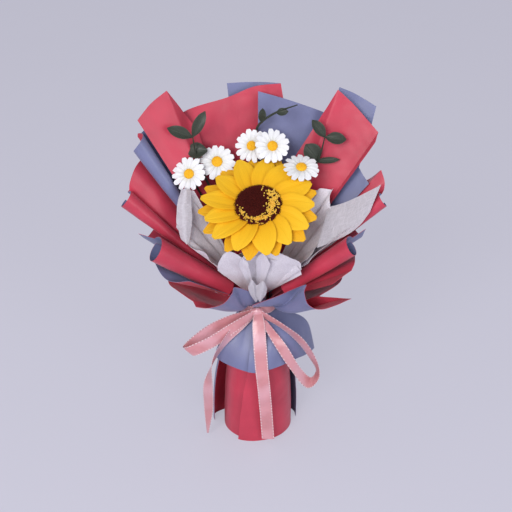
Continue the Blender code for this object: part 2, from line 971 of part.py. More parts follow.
def sprigs(collection, helpers):
    green = material("leaf_green", LEAF_GREEN, 0.5)
    for name, (slot, upper, leaves) in SPRIGS.items():
        path = [*smooth_row(upper, (), STEPS) * MM, *down_through_neck(slot)]
        stem = wire(name, path, SPRIG_STEM_RADIUS, green, collection)
        blades = [
            leaf(f"{name}_leaf_{i}", Vector(base) * MM, Vector(tip) * MM, width * MM, green, collection)
            for i, (base, tip, width) in enumerate(leaves)
        ]
        united(meshed(stem, collection), blades, collection, helpers)


def square_ring(name, inner, outer, half_height, steps, finish, collection, level):
    """A square-cut ring about the neck's axis, centred at a height."""
    profile = [
        (outer, half_height),
        (outer, -half_height),
        (inner, -half_height),
        (inner, half_height),
        (outer, half_height),
    ]
    return turned(name, profile, steps, finish, collection, z=level)


def stem_tape(collection):
    tape = material("stem_tape", STEM_GREEN, 0.8)
    inner = tape_radius()
    outer = inner + TAPE_THICKNESS
    square_ring("stem_tape", inner, outer, TAPE_HEIGHT / 2, TAPE_FACETS, tape, collection, NECK_HEIGHT)


# Ribbon runs: pairs of a centre and a half width, in mm from the front of the band.
RIBBON_RUNS = {
    "left_loop": [
        ((-2, -2, -6), (0, 0, 4)),
        ((-26, -6, -13), (-2, 0, 5)),
        ((-47, -9, -24), (-3, 0, 5.5)),
        ((-66, -10, -42), (-4.5, 0, 5)),
        ((-66, -15, -44), (-4.5, 0, 5)),
        ((-44, -17, -31), (-3, 0, 5.5)),
        ((-24, -13, -18), (-2.5, 0, 5)),
        ((-3, -4, -7), (0, 0, 4)),
    ],
    "right_loop": [
        ((1, -2, -6), (0, 0, 4)),
        ((24, -15, -14), (2, -2, 4)),
        ((43, -15, -32), (3, -3, 4)),
        ((57, -10, -59), (3, -4, 2)),
        ((61, -8, -77), (1, -6, -1)),
        ((52, -12, -84), (-2, -5, -3)),
        ((37, -19, -60), (-5, -2, 1)),
        ((22, -20, -32), (-6, -1, 1)),
        ((5, -7, -11), (-4, 0, 2)),
    ],
    "left_tail": [
        ((-2, -3, -7), (0, 0, 4)),
        ((-18, -10, -18), (-3, 0, 4)),
        ((-32, -17, -32), (-3, -1, 3)),
        ((-42, -19, -50), (-2, -4, 1)),
        ((-49, -15, -83), (4.5, -2, 0)),
        ((-50, -11, -114), (5, -1, 0)),
        ((-52, -9, -152), (1, -1, 1)),
    ],
    "centre_tail": [
        ((1, -4, -5), (4, 0, 0)),
        ((1.5, -12, -14), (6, 0, 0)),
        ((2.5, -20, -29), (6.35, 0, 0)),
        ((4.5, -27, -56), (6.35, 0, 0)),
        ((6.5, -29, -76), (6.35, 0, 0)),
        ((9, -26, -110), (6.35, 0, 0)),
        ((11.5, -22, -149), (6.35, 0, 0)),
    ],
}


def ribbon_run(name, stations, front, finish, collection):
    """A flat strip of ribbon that bends and twists along its stations."""
    middle = smooth_row([s[0] for s in stations], (), STEPS) * MM + np.array([0, -front, NECK_HEIGHT])
    half = smooth_row([s[1] for s in stations], (), STEPS) * MM
    obj = bpy.data.objects.new(name, bent_grid(name, [middle - half, middle + half]))
    link(obj, collection, finish)
    thicken(obj, RIBBON_THICKNESS)
    return meshed(obj, collection)


def ribbon(collection, helpers):
    pink = material("satin_ribbon", PINK, 0.3)
    inner = layer_radius(PAPER_LAYERS - 1) + PAPER_THICKNESS / 2 + SEAT_GAP
    outer = inner + BAND_THICKNESS
    level = NECK_HEIGHT + RIBBON_LEVEL
    ring = square_ring("ribbon_bow", inner, outer, BAND_WIDTH / 2, BAND_FACETS, pink, collection, level)
    band = meshed(ring, collection)
    mesh = bpy.data.meshes.new("knot")
    bm = bmesh.new()
    bmesh.ops.create_cube(bm, size=1)
    bmesh.ops.scale(bm, verts=bm.verts, vec=KNOT_SIZE)
    bmesh.ops.bevel(bm, geom=list(bm.edges), offset=KNOT_ROUNDING, segments=2, profile=0.5, affect="EDGES")
    bm.to_mesh(mesh)
    bm.free()
    knot = link(bpy.data.objects.new("knot", mesh), collection, pink)
    knot.location = (0, -outer - KNOT_SIZE[1] * 0.3, level)
    runs = [
        ribbon_run(name, stations, outer, pink, collection) for name, stations in RIBBON_RUNS.items()
    ]
    united(band, [knot, *runs], collection, helpers)


def extent(collection):
    """Lowest and highest corner of everything in the collection."""
    bpy.context.view_layer.update()
    graph = bpy.context.evaluated_depsgraph_get()
    places = []
    for obj in collection.objects:
        if obj.type == "EMPTY":
            continue
        shown = obj.evaluated_get(graph)
        mesh = shown.to_mesh()
        places += [shown.matrix_world @ vert.co for vert in mesh.vertices]
        shown.to_mesh_clear()
    places = np.array(places)
    return places.min(axis=0), places.max(axis=0)


def stand_on_origin(parts, helpers):
    """Moves everything so that the origin is under the middle of the outline, on its base."""
    low, high = extent(parts)
    base = Vector(((low[0] + high[0]) / 2, (low[1] + high[1]) / 2, low[2]))
    for obj in [*parts.objects, *helpers.objects]:
        if obj.parent is None:
            obj.location -= base


def main():
    for obj in list(bpy.data.objects):
        bpy.data.objects.remove(obj)
    parts = new_collection("paper_flower_bouquet")
    helpers = new_collection("construction")
    wrapping_papers(parts)
    tissue_papers(parts)
    sunflower(parts)
    daisies(parts)
    sprigs(parts, helpers)
    stem_tape(parts)
    ribbon(parts, helpers)
    stand_on_origin(parts, helpers)


main()
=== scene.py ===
# %% [markdown]
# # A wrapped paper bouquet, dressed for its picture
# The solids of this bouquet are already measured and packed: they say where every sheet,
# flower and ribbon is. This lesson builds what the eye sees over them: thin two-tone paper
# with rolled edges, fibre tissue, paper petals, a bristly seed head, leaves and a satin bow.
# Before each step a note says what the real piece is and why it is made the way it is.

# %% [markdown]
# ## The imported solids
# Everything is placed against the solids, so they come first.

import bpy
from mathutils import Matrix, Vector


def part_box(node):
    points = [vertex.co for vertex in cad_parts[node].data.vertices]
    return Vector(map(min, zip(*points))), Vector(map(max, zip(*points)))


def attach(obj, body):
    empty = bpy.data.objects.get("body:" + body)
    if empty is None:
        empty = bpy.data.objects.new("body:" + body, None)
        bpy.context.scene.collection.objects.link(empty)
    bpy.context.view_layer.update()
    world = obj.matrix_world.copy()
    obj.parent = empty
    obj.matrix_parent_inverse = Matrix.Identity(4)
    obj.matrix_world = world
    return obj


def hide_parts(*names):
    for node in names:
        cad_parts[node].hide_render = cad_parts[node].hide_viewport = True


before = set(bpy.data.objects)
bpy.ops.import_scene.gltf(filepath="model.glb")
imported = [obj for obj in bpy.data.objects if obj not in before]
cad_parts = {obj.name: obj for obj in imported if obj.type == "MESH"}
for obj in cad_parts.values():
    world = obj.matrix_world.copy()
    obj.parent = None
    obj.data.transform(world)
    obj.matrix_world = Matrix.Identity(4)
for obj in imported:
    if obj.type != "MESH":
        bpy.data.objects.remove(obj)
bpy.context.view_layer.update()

# %% [markdown]
# ## Tools and units
# Lengths are written in millimetres and turned into metres once. The neck, where the bouquet
# is tied, is the point that a florist works from, so every piece is placed from it. It is the
# middle of the tape round the stems. The dice for small differences between petals has a fixed
# seed, so the script gives the same bouquet each time.

# %% Units, neck and dice
import math
import random

import bmesh
import bpy
import numpy as np
from mathutils import Matrix, Vector, noise

MM = 0.001
tape_low, tape_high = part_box("stem_tape")
neck = (tape_low + tape_high) / 2
dice = random.Random(7)
print("neck at", tuple(round(v / MM, 1) for v in neck), "mm")

# %% [markdown]
# ## Camera
# The photograph looks down on the bouquet by about 28 degrees, with a slightly long lens that
# keeps the upright sheets upright. The camera aims at a point a little above the neck.

# %% Camera
AIM_ABOVE_NECK = Vector((-1.1, 0, 44.3)) * MM
CAMERA_DISTANCE = 0.76
LOOKS_DOWN = math.radians(28)

aim = neck + AIM_ABOVE_NECK
away = Vector((0, -math.cos(LOOKS_DOWN), math.sin(LOOKS_DOWN)))
lens = bpy.data.cameras.new("camera")
lens.lens = 55
lens.sensor_width = 36
camera = bpy.data.objects.new("camera", lens)
camera.location = aim + away * CAMERA_DISTANCE
camera.rotation_euler = (-away).to_track_quat("-Z", "Y").to_euler()
bpy.context.scene.collection.objects.link(camera)
bpy.context.scene.camera = camera
print("camera at", tuple(round(v, 3) for v in camera.location))

# %% [markdown]
# ## Wiring a finish
# Every finish below is a small graph of shader nodes: a texture gives a pattern, the pattern
# mixes two colours and also lifts the surface a little, and a Principled shader turns that
# into light. These helpers add a node, mix two colours and stack a bump, so that each
# finish reads as a short list of what the real surface shows.

# %% Helpers for shader nodes
def add_node(tree, kind, inputs=None, **settings):
    """A shader node with its settings; an input takes a value or another node's output."""
    made = tree.nodes.new("ShaderNode" + kind)
    for key, value in settings.items():
        setattr(made, key, value)
    for key, value in (inputs or {}).items():
        if isinstance(value, bpy.types.NodeSocket):
            tree.links.new(value, made.inputs[key])
        else:
            made.inputs[key].default_value = value
    return made


def new_finish(name, roughness, sockets=None):
    """A Principled material; sockets are the numbers that are the same all over it."""
    made = bpy.data.materials.new(name)
    made.use_nodes = True
    shader = made.node_tree.nodes["Principled BSDF"]
    shader.inputs["Roughness"].default_value = roughness
    for key, value in (sockets or {}).items():
        shader.inputs[key].default_value = value
    return made, made.node_tree, shader


def blended(tree, share, first, second):
    """Two colours mixed by a pattern; either can be another pattern's output."""
    colours = {0: share}
    for slot, colour in ((6, first), (7, second)):
        colours[slot] = (*colour, 1) if isinstance(colour, tuple) else colour
    return add_node(tree, "Mix", colours, data_type="RGBA").outputs[2]


def spread(tree, value, low, high, to_low=0.0, to_high=1.0):
    """Stretches a part of a pattern's range, as a contrast control does."""
    ends = {"Value": value, "From Min": low, "From Max": high, "To Min": to_low, "To Max": to_high}
    return add_node(tree, "MapRange", ends).outputs["Result"]


def noise_pattern(tree, place, scale, detail=3.0, roughness=0.5):
    inputs = {"Vector": place, "Scale": scale, "Detail": detail, "Roughness": roughness}
    return add_node(tree, "TexNoise", inputs).outputs["Fac"]


def stretched(tree, place, scale):
    return add_node(tree, "Mapping", {"Vector": place, "Scale": scale}).outputs["Vector"]


def lifted(tree, height, distance, strength=1.0, below=None):
    """A bump over the surface, or over another bump."""
    inputs = {"Height": height, "Distance": distance, "Strength": strength}
    if below:
        inputs["Normal"] = below
    return add_node(tree, "Bump", inputs).outputs["Normal"]


def darker(colour, factor):
    return tuple(min(1.0, c * factor) for c in colour)


print("shader helpers ready")

# %% [markdown]
# ## Wrapping paper
# The wrap is a smooth, uncoated paper, printed coral red on one side and grey-blue on the
# other. Close up it is not one colour: the ink lies a little cloudy, fine fibres catch the
# light, and handling leaves shallow dents. Three noises at three sizes make that: clouds of
# about 30 mm for the ink, 1 mm fibres for colour and roughness, and soft dents of about
# 15 mm that only bend the light.

# %% Paper finishes
RED_INK = (0.51, 0.042, 0.078)
BLUE_INK = (0.165, 0.18, 0.325)


def paper_finish(name, ink):
    finish, tree, shader = new_finish(name, 0.5, {"Specular IOR Level": 0.4, "Sheen Weight": 0.10})
    place = add_node(tree, "TexCoord").outputs["Object"]
    clouds = noise_pattern(tree, place, 32, 2)
    fibres = noise_pattern(tree, stretched(tree, place, (1, 1, 0.35)), 950, 4, 0.7)
    dents = noise_pattern(tree, place, 62, 1)
    cloudy = blended(tree, spread(tree, clouds, 0.3, 0.7), darker(ink, 0.88), darker(ink, 1.1))
    flecks = spread(tree, fibres, 0.56, 0.74, 0.0, 0.35)
    tinted = blended(tree, flecks, cloudy, darker(ink, 1.35))
    tree.links.new(tinted, shader.inputs["Base Color"])
    tree.links.new(spread(tree, fibres, 0.3, 0.7, 0.34, 0.46), shader.inputs["Roughness"])
    soft = lifted(tree, dents, 0.0016, 0.5)
    grain = lifted(tree, fibres, 0.00012, 0.5, soft)
    tree.links.new(grain, shader.inputs["Normal"])
    return finish


red_paper = paper_finish("red_paper_surface", RED_INK)
blue_paper = paper_finish("blue_paper_surface", BLUE_INK)
print("paper finishes:", red_paper.name, blue_paper.name)

# %% [markdown]
# ## Tissue
# Between the flowers and the wrap stands pale lavender tissue. It is a web of long fibres
# pressed thin, so light comes through it, it shows darker and lighter strands, and it stays
# matt. A noise pulled long in one direction and a second one across it make the strands, and
# a little transparency lets the red paper behind shine through.

# %% Tissue finish
TISSUE_WHITE = (0.78, 0.74, 0.80)


def tissue_finish(name, opacity, colour, fineness=1.0):
    sockets = {"Specular IOR Level": 0.25, "Alpha": opacity, "Sheen Weight": 0.15}
    finish, tree, shader = new_finish(name, 0.75, sockets)
    place = add_node(tree, "TexCoord").outputs["UV"]
    along = noise_pattern(tree, stretched(tree, place, (60, 7, 1)), 3 * fineness, 4, 0.65)
    across = noise_pattern(tree, stretched(tree, place, (12, 46, 1)), 3 * fineness, 4, 0.65)
    strands = add_node(tree, "Math", {0: along, 1: across}, operation="MAXIMUM").outputs[0]
    web = spread(tree, strands, 0.40, 0.70)
    shade = blended(tree, web, darker(colour, 0.80), darker(colour, 1.15))
    tree.links.new(shade, shader.inputs["Base Color"])
    tree.links.new(lifted(tree, strands, 0.0005, 0.6), shader.inputs["Normal"])
    return finish


white_tissue = tissue_finish("tissue_surface", 0.93, TISSUE_WHITE)
thin_tissue = tissue_finish("single_tissue_surface", 0.78, TISSUE_WHITE)
# The folded tissue is darker: painted shade of the folds.
fold_tissue_painted_shade = tissue_finish("folded_tissue_painted_shade", 0.95, darker(TISSUE_WHITE, 0.72), 0.2)
veined_tissue = tissue_finish("veined_tissue_surface", 0.8, darker(TISSUE_WHITE, 0.72), 0.22)
print("tissue finishes:", white_tissue.name, thin_tissue.name)

# %% [markdown]
# ## From rows of points to a thin sheet
# A sheet of paper is easiest to think of as rows of points: one row along its free edge, one
# at the neck, and the rows between them. This helper joins the rows with quads and lays a UV
# map along them. Paper has two sides, so a Solidify step gives the sheet its thickness and
# puts the second finish on the side that faces away from the flowers. Edges that turn by more
# than 40 degrees stay sharp, so the thin cut edge doesn't shade like a pillow.

# %% Helpers for surfaces
def smooth_row(knots, corners, steps):
    """A smooth curve through the knots, with a sharp turn at each corner index."""
    knots = np.asarray(knots, float)
    last = len(knots) - 1
    out = [knots[0]]
    for i in range(last):
        a, b = knots[i], knots[i + 1]
        before = knots[i - 1] if i > 0 and i not in corners else 2 * a - b
        after = knots[i + 2] if i + 2 <= last and i + 1 not in corners else 2 * b - a
        for k in range(1, steps + 1):
            t = k / steps
            straight = 2 * a + (b - before) * t
            bend = (2 * before - 5 * a + 4 * b - after) * t**2
            out.append(0.5 * (straight + bend + (3 * a - before - 3 * b + after) * t**3))
    return np.array(out)


def surface(name, points, present=None):
    """A mesh of quads through rows of points, with U along the rows and V down them."""
    points = np.asarray(points, float)
    rows, columns = points.shape[:2]
    kept = np.ones((rows, columns), bool) if present is None else present
    number = np.full((rows, columns), -1)
    number[kept] = np.arange(kept.sum())
    whole = kept[:-1, :-1] & kept[:-1, 1:] & kept[1:, 1:] & kept[1:, :-1]
    r, c = np.nonzero(whole)
    quads = np.stack([number[r, c], number[r, c + 1], number[r + 1, c + 1], number[r + 1, c]], 1)
    mesh = bpy.data.meshes.new(name)
    mesh.from_pydata(points[kept].tolist(), [], quads.tolist())
    grid_r, grid_c = np.nonzero(kept)
    share = np.stack([grid_c / (columns - 1), grid_r / (rows - 1)], 1)
    layer = mesh.uv_layers.new(name="UVMap")
    layer.data.foreach_set("uv", share[quads.ravel()].ravel().astype(np.float32))
    mesh.update()
    return mesh


def show(name, mesh, *finishes):
    """Puts a mesh in the scene as a piece, with its finishes in their order."""
    made = bpy.data.objects.new(name, mesh)
    bpy.context.scene.collection.objects.link(made)
    for finish in finishes:
        mesh.materials.append(finish)
    return made


def settled(piece, sharp=40):
    """Applies the piece's modifiers and shades it smooth up to the sharp angle."""
    bpy.context.view_layer.update()
    graph = bpy.context.evaluated_depsgraph_get()
    mesh = bpy.data.meshes.new_from_object(piece.evaluated_get(graph))
    piece.modifiers.clear()
    old = piece.data
    piece.data = mesh
    bpy.data.meshes.remove(old)
    mesh.name = piece.name
    mesh.shade_smooth()
    mesh.set_sharp_from_angle(angle=math.radians(sharp))
    return piece


def thickened(piece, thickness, second_side=0):
    """Gives a surface its thickness; second_side is how many finishes on the back one is."""
    solid = piece.modifiers.new("thickness", "SOLIDIFY")
    solid.thickness = thickness
    solid.offset = 0
    solid.material_offset = second_side
    solid.material_offset_rim = 0
    return settled(piece)


def dressed(piece, slot, *nodes):
    """The piece stands for those solids and hides them; the slot is not used."""
    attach(piece, "root")
    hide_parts(*nodes)
    return piece


print("surface helpers ready")

# %% [markdown]
# ## The neck and its layers
# Each sheet of the wrap is pinched round the stems at the neck. Sheets lie there in layers,
# from the inside to the outside, and every layer runs straight down for a few millimetres
# under the ribbon. Above that band the inner layers bend outward a little higher than the
# outer ones, which is why they never cut through each other.

# %% The neck's layers
BAND_TOP = -1 * MM
BAND_BOTTOM = -12 * MM
TISSUE_RADIUS = (tape_high.x - tape_low.x) / 2 + 0.45 * MM
TISSUE_STEP = 0.7 * MM
PAPER_RADIUS = TISSUE_RADIUS + 3 * TISSUE_STEP + 0.65 * MM
PAPER_STEP = 0.7 * MM
OUTER_LAYER = 11
INNER_BENDS_HIGHER = 0.8
ROLL_STARTS = 0.18
PAPER_THICKNESS = 0.28 * MM


def neck_point(radius, turn, z=0.0):
    """A point from the neck; turn 0 is the right, 90 the back and 270 the front."""
    a = math.radians(turn)
    return np.array([radius * math.cos(a), radius * math.sin(a), z])


def turn_of(point):
    return math.degrees(math.atan2(point[1], point[0]))


def paper_radius(layer):
    return PAPER_RADIUS + layer * PAPER_STEP


def bend_height(radius):
    return BAND_TOP + (paper_radius(OUTER_LAYER) - radius) * INNER_BENDS_HIGHER


print("paper layers from", round(paper_radius(0) / MM, 2), "mm to",
      round(paper_radius(OUTER_LAYER) / MM, 2))

# %% [markdown]
# ## Directions round the neck
# Two questions come back for every sheet: under which turn does a point of its free edge
# start at the neck, and which way is square to the line between the two. The turns must
# always go the same way round, or the sheet would double back on itself.

# %% Turns and directions
def turns_at_neck(tips):
    """The turn under each point of the free edge, always going the same way round."""
    turns = np.degrees(np.unwrap([math.radians(turn_of(t)) for t in tips]))
    way = 1 if turns[-1] > turns[0] else -1
    for i in range(1, len(turns)):
        turns[i] = way * max(way * turns[i], way * turns[i - 1] + 0.1)
    return turns


def outward(tip):
    """The direction square to a ray from the neck, out and down."""
    level = math.hypot(tip[0], tip[1])
    reach = math.hypot(level, tip[2])
    across = np.array([tip[0], tip[1], 0]) / level
    return across * tip[2] / reach - np.array([0, 0, 1]) * level / reach


def cylindrical(points):
    """Points as radius, turn and height, with the turns following on from each other."""
    points = np.asarray(points, float)
    turns = np.degrees(np.unwrap([math.radians(turn_of(p)) for p in points]))
    return np.column_stack([np.hypot(points[:, 0], points[:, 1]), turns, points[:, 2]])


print("a ray 45 degrees up and to the right is square to", outward((1, 0, 1)).round(2))

# %% [markdown]
# ## Edges rolled into cones
# The florist rolls the front edge of several sheets round a finger, so that it becomes a cone
# that is narrow at the neck and open at the top, and shows the paper's second side inside. A
# cone is a circle that shrinks along a line. For each roll the lists below give the middle
# and the radius of the open end, the place on that circle where the flat paper arrives, how
# far round the paper goes, how far the cut end slopes back, and how wide the other end is.

# %% Rolled edge
def rolled_edge(roll, radius_at_neck, way):
    """Points of the open end and of the narrow end of a rolled edge."""
    centre, size, begin, sweep, slope, taper = roll
    centre = np.array(centre) * MM
    root = neck_point(radius_at_neck, turn_of(centre), bend_height(radius_at_neck))
    along = (centre - root) / np.linalg.norm(centre - root)
    inward = -outward(centre)
    side = np.cross(along, inward)
    if (centre[0] * side[1] - centre[1] * side[0]) * way < 0:
        side = -side
    count = round(sweep / 7)
    tips, ends = [], []
    for k in range(count + 1):
        angle = math.radians(begin + sweep * k / count)
        tighter = 1 - 0.10 * k / count
        rim = size * MM * tighter * (math.cos(angle) * inward + math.sin(angle) * side)
        tips.append(centre + rim + along * slope * MM * k / count)
        ends.append(root + (centre - root) * ROLL_STARTS + rim * taper)
    return np.array(tips), np.array(ends)


print("rolled edges start", ROLL_STARTS, "of the way up")

# %% [markdown]
# ## Hanging down to a hem
# Below the ribbon the outer sheets swing out and round to their hem. Close to the band the
# paper is pushed out sharply by the layers inside it, further down it hangs nearly straight,
# so the swing is fast first and slow later. A higher ease makes the first part faster.

# %% Hem rows
def swing(w, powers):
    """How much of the way out a hanging sheet is, at the share w of its height."""
    straight = 0.28 * np.clip((powers - 2.6) / 2.4, 0, 1)
    return (1 - straight) * (1 - (1 - w) ** (powers * (1 + straight))) + straight * w


def hem_rows(neck_row, low, eases, steps, count=16):
    """Rows from the neck down to the hem, which swing out and round together."""
    low = smooth_row(low, (), steps)
    top = cylindrical(neck_row[: len(low)])
    low[:, 1] += 360 * round((top[0, 1] - low[0, 1]) / 360)
    powers = np.linspace(eases[0], eases[1], len(low))
    rows = []
    for w in np.linspace(0, 1, count + 1)[1:]:
        ease = swing(w, powers)
        shares = np.column_stack([ease, ease, np.full(len(low), w)])
        row = [neck_point(*place) for place in top + (low - top) * shares]
        rows.append(np.concatenate([row, neck_row[len(low) :]]))
    return rows


print("half way down an ease of 2.6 is", round(float(swing(0.5, np.array([2.6]))[0]), 2),
      "of the way out")

# %% [markdown]
# ## Dents
# Paper that has been handled bends the light unevenly. The dents are pushed square to the
# sheet by two noises, a broad one and a finer one. They fade out at the neck, where the
# layers lie tight on each other, so no sheet is pushed through its neighbour.

# %% Dents in paper
def dented(points, depth, wave, seed):
    """Pushes rows of points square to their surface by a soft noise."""
    down = np.gradient(points, axis=0)
    along = np.gradient(points, axis=1)
    normal = np.cross(along, down)
    length = np.linalg.norm(normal, axis=2, keepdims=True)
    normal = normal / np.maximum(length, 1e-12)
    out = points.copy()
    for r in range(points.shape[0]):
        for c in range(points.shape[1]):
            x, y, z = points[r, c]
            reach = math.sqrt(x * x + y * y + z * z)
            fade = min(1.0, max(0.0, (reach - 22 * MM) / (60 * MM)))
            place = Vector((x, y, z)) / wave + Vector((seed * 3.1, 0, 0))
            bump = noise.noise(place) + 0.4 * noise.noise(place * 2.7)
            out[r, c] += normal[r, c] * bump * depth * fade
    return out


print("dents ready")

# %% [markdown]
# ## The part above the neck
# Seen from the neck the creases of a gathered sheet run like rays, so its upper part is a
# ruled surface: a straight line from a place on the neck to each point of the free edge. The
# two front sheets belly out between those ends, most at a third of the way, and tissue is
# limp enough for its free edge to swing in and out in folds.

# %% Rays of a sheet
RAY_ROWS = sorted({*[1 - k / 22 for k in range(23)], ROLL_STARTS}, reverse=True)
BELLY_PEAK = 4 / 27


def fold_waves(tips, folds):
    """How far the folds push each point of the free edge; folds is (how many, how far in mm)."""
    waves = np.zeros_like(tips)
    if folds:
        count, far = folds
        phase = np.linspace(0, count * 2 * math.pi, len(tips))
        ends = np.sin(np.linspace(0, math.pi, len(tips))) ** 0.5
        waves = np.array([outward(t) for t in tips]) * (np.sin(phase) * ends * far * MM)[:, None]
    return waves


def ray_rows(tips, starts, belly, folds):
    """Rows of points from the free edge down to the place where the sheet bends outward."""
    reach = [outward(t) * np.linalg.norm(t - s) for t, s in zip(tips, starts)]
    bulge = np.array(reach) * belly
    waves = fold_waves(tips, folds)
    rows = []
    for v in RAY_ROWS:
        bulging = bulge * v * (1 - v) ** 2 / BELLY_PEAK
        rows.append(starts + (tips - starts) * v + bulging + waves * v**1.5)
    return rows


print("rows along a ray:", len(RAY_ROWS))

# %% [markdown]
# ## A gathered sheet
# Now the parts come together: rays above the neck, a straight band under the ribbon, a hem
# or a short tail below, and the rolled edge as extra columns on one side. Quads that would
# join two parts that don't touch are left out.

# %% Join the parts of a sheet
def with_roll(rows, turns, radius, roll):
    """Rows with the columns of a rolled edge added, and where there is paper in them."""
    way = 1 if turns[-1] > turns[0] else -1
    tips, ends = rolled_edge(roll, radius, way)
    extra = np.zeros((len(rows), len(tips), 3))
    there = np.zeros(extra.shape[:2], bool)
    for row, v in enumerate(RAY_ROWS):
        if v >= ROLL_STARTS:
            extra[row] = ends + (tips - ends) * (v - ROLL_STARTS) / (1 - ROLL_STARTS)
            there[row] = True
    return extra, there


def face_flowers(mesh, inward, rows, columns):
    """Turns the quads so that their front side is the one toward the flowers."""
    total = Vector((0, 0, 0))
    for face in list(mesh.polygons)[: (rows - 1) * (columns - 1)]:
        total += face.normal * face.area
    if total.dot(Vector(inward)) < 0:
        mesh.flip_normals()


def gathered_sheet(name, radius, rim, corners=(), turns=None, roll=None, hem=None, eases=(2.6, 2.6),
                   belly=0.0, tail=60 * MM, steps=8, dent=0.7 * MM, wave=34 * MM, folds=None):
    """A mesh for a sheet that fans up from the neck; rim and hem are in mm from the neck."""
    tips = smooth_row(rim, corners, steps) * MM
    if turns is None:
        turns = turns_at_neck(tips)
    else:
        turns = smooth_row([[t] for t in turns], (), steps)[:, 0]
    starts = np.array([neck_point(radius, t, bend_height(radius)) for t in turns])
    neck_row = np.array([neck_point(radius, t, BAND_BOTTOM) for t in turns])
    rows = ray_rows(tips, starts, belly, folds) + [neck_row]
    hung = len(tips)
    if hem is None:
        rows.append(neck_row - np.array([0, 0, tail + BAND_BOTTOM]))
    else:
        low = cylindrical(np.array(hem) * MM)
        hung = (len(low) - 1) * steps + 1
        rows += hem_rows(neck_row, low, eases, steps)
    points = np.array(rows)
    present = np.ones(points.shape[:2], bool)
    present[len(RAY_ROWS) + 1 :, hung:] = False
    if roll:
        extra, there = with_roll(rows, turns, radius, roll)
        points = np.concatenate([points, extra], axis=1)
        present = np.concatenate([present, there], axis=1)
    points = dented(points, dent, wave, len(name)) + np.array(neck)
    mesh = surface(name, points, present)
    middle = points[0, : len(tips)].mean(axis=0) - np.array(neck)
    face_flowers(mesh, -outward(middle), len(RAY_ROWS), len(tips))
    return mesh


print("gathered sheets ready")

# %% [markdown]
# ## The wrap, sheet by sheet
# The list below is the florist's order of work turned round: the innermost layer first. Each
# entry gives the layer at the neck, the finish on the flower side and on the other side, and
# the free edge from one side of the sheet to the other. Sheets that are turned with their
# blue side in stand between the red ones, which makes the two-tone fan.

# %% Upright sheets
RED_IN = (red_paper, blue_paper)
BLUE_IN = (blue_paper, red_paper)

UPRIGHT = {
    "left_panel_paper": (0, RED_IN, dict(
        rim=[(-56, 34, 161), (-68, 31, 178), (-82, 24, 201), (-95, 18, 192), (-102, 14, 185),
             (-108, 9, 178)],
        corners=(2,))),
    "right_panel_paper": (0, RED_IN, dict(
        rim=[(36, 25, 138), (55, 27, 169), (73, 24, 202), (88, 20, 189), (101, 14, 176),
             (110, 8, 167),
             (107, 2, 160)],
        corners=(2, 5))),
    "back_right_paper": (1, BLUE_IN, dict(
        rim=[(0.8, 38, 196.5), (30, 38, 188), (61, 38, 177), (68, 38, 172)])),
    "back_left_paper": (2, RED_IN, dict(
        rim=[(-84, 26, 156), (-70, 42, 175), (-28, 47, 188), (-3, 48, 198), (22, 48, 201),
             (25, 46, 185),
             (32, 43, 150)],
        corners=(4,))),
    "back_centre_paper": (3, BLUE_IN, dict(
        rim=[(-28.5, 54, 199.5), (-10, 56, 200), (8, 56, 200), (22, 54, 199.5)])),
}
print(len(UPRIGHT), "upright sheets listed")

# %% [markdown]
# ## Sheets at the sides
# Beside the flowers the sheets lean out further and their front edges are rolled. A roll is
# the last thing in an entry, because it continues the sheet after its last edge point.

# %% Side sheets
SIDES = {
    "left_second_paper": (4, BLUE_IN, dict(
        rim=[(-52, 66, 158), (-78, 50, 165), (-97, 31, 168), (-110, 17, 160)],
        roll=((-112, 8, 162), 8.5, -75, 290, -12, 0.18))),
    "right_second_paper": (4, BLUE_IN, dict(
        rim=[(75, 30, 202.5), (90, 31, 196), (109, 25, 186), (104, 21, 164), (95, 13, 131),
             (99, 8, 125),
             (104, 3, 119)],
        corners=(2, 4))),
    "left_third_paper": (5, RED_IN, dict(
        rim=[(-62, 70, 135), (-92, 46, 138), (-106, 22, 138), (-113, 8, 133), (-118, 1, 121),
             (-119, 0, 114)],
        roll=((-122, -10, 110), 8.5, -65, 310, -3, 0.22))),
    "right_third_paper": (5, RED_IN, dict(
        rim=[(56, 66, 116), (84, 44, 107), (103, 22, 114), (115, 7, 131), (118, 1, 122),
             (118, 0, 114)],
        corners=(3,),
        roll=((117, -10, 109), 7, -65, 290, -3, 0.22))),
}
print(len(SIDES), "side sheets listed")

# %% [markdown]
# ## The foot
# Four sheets flare low above the neck and hang down as the hollow foot. A hem place on the
# floor is easiest to say as a turn round the neck and a radius. Below the neck such a sheet
# shows its red side outward, so it has a second pair of finishes for that part.

# %% Foot sheets
FOOT_RADIUS = 35
FOOT_STEP = 1.5
FLOOR = -neck.z / MM + 0.2
RED_FOOT = (red_paper, blue_paper, blue_paper, red_paper)
BLUE_FOOT = (blue_paper, red_paper, red_paper, blue_paper)


def foot_points(turns, layer, flares=None):
    """Hem places on the floor round the foot, in mm from the neck."""
    radius = FOOT_RADIUS + layer * FOOT_STEP
    return [neck_point(radius + f, t, FLOOR) for t, f in zip(turns, flares or [0] * len(turns))]


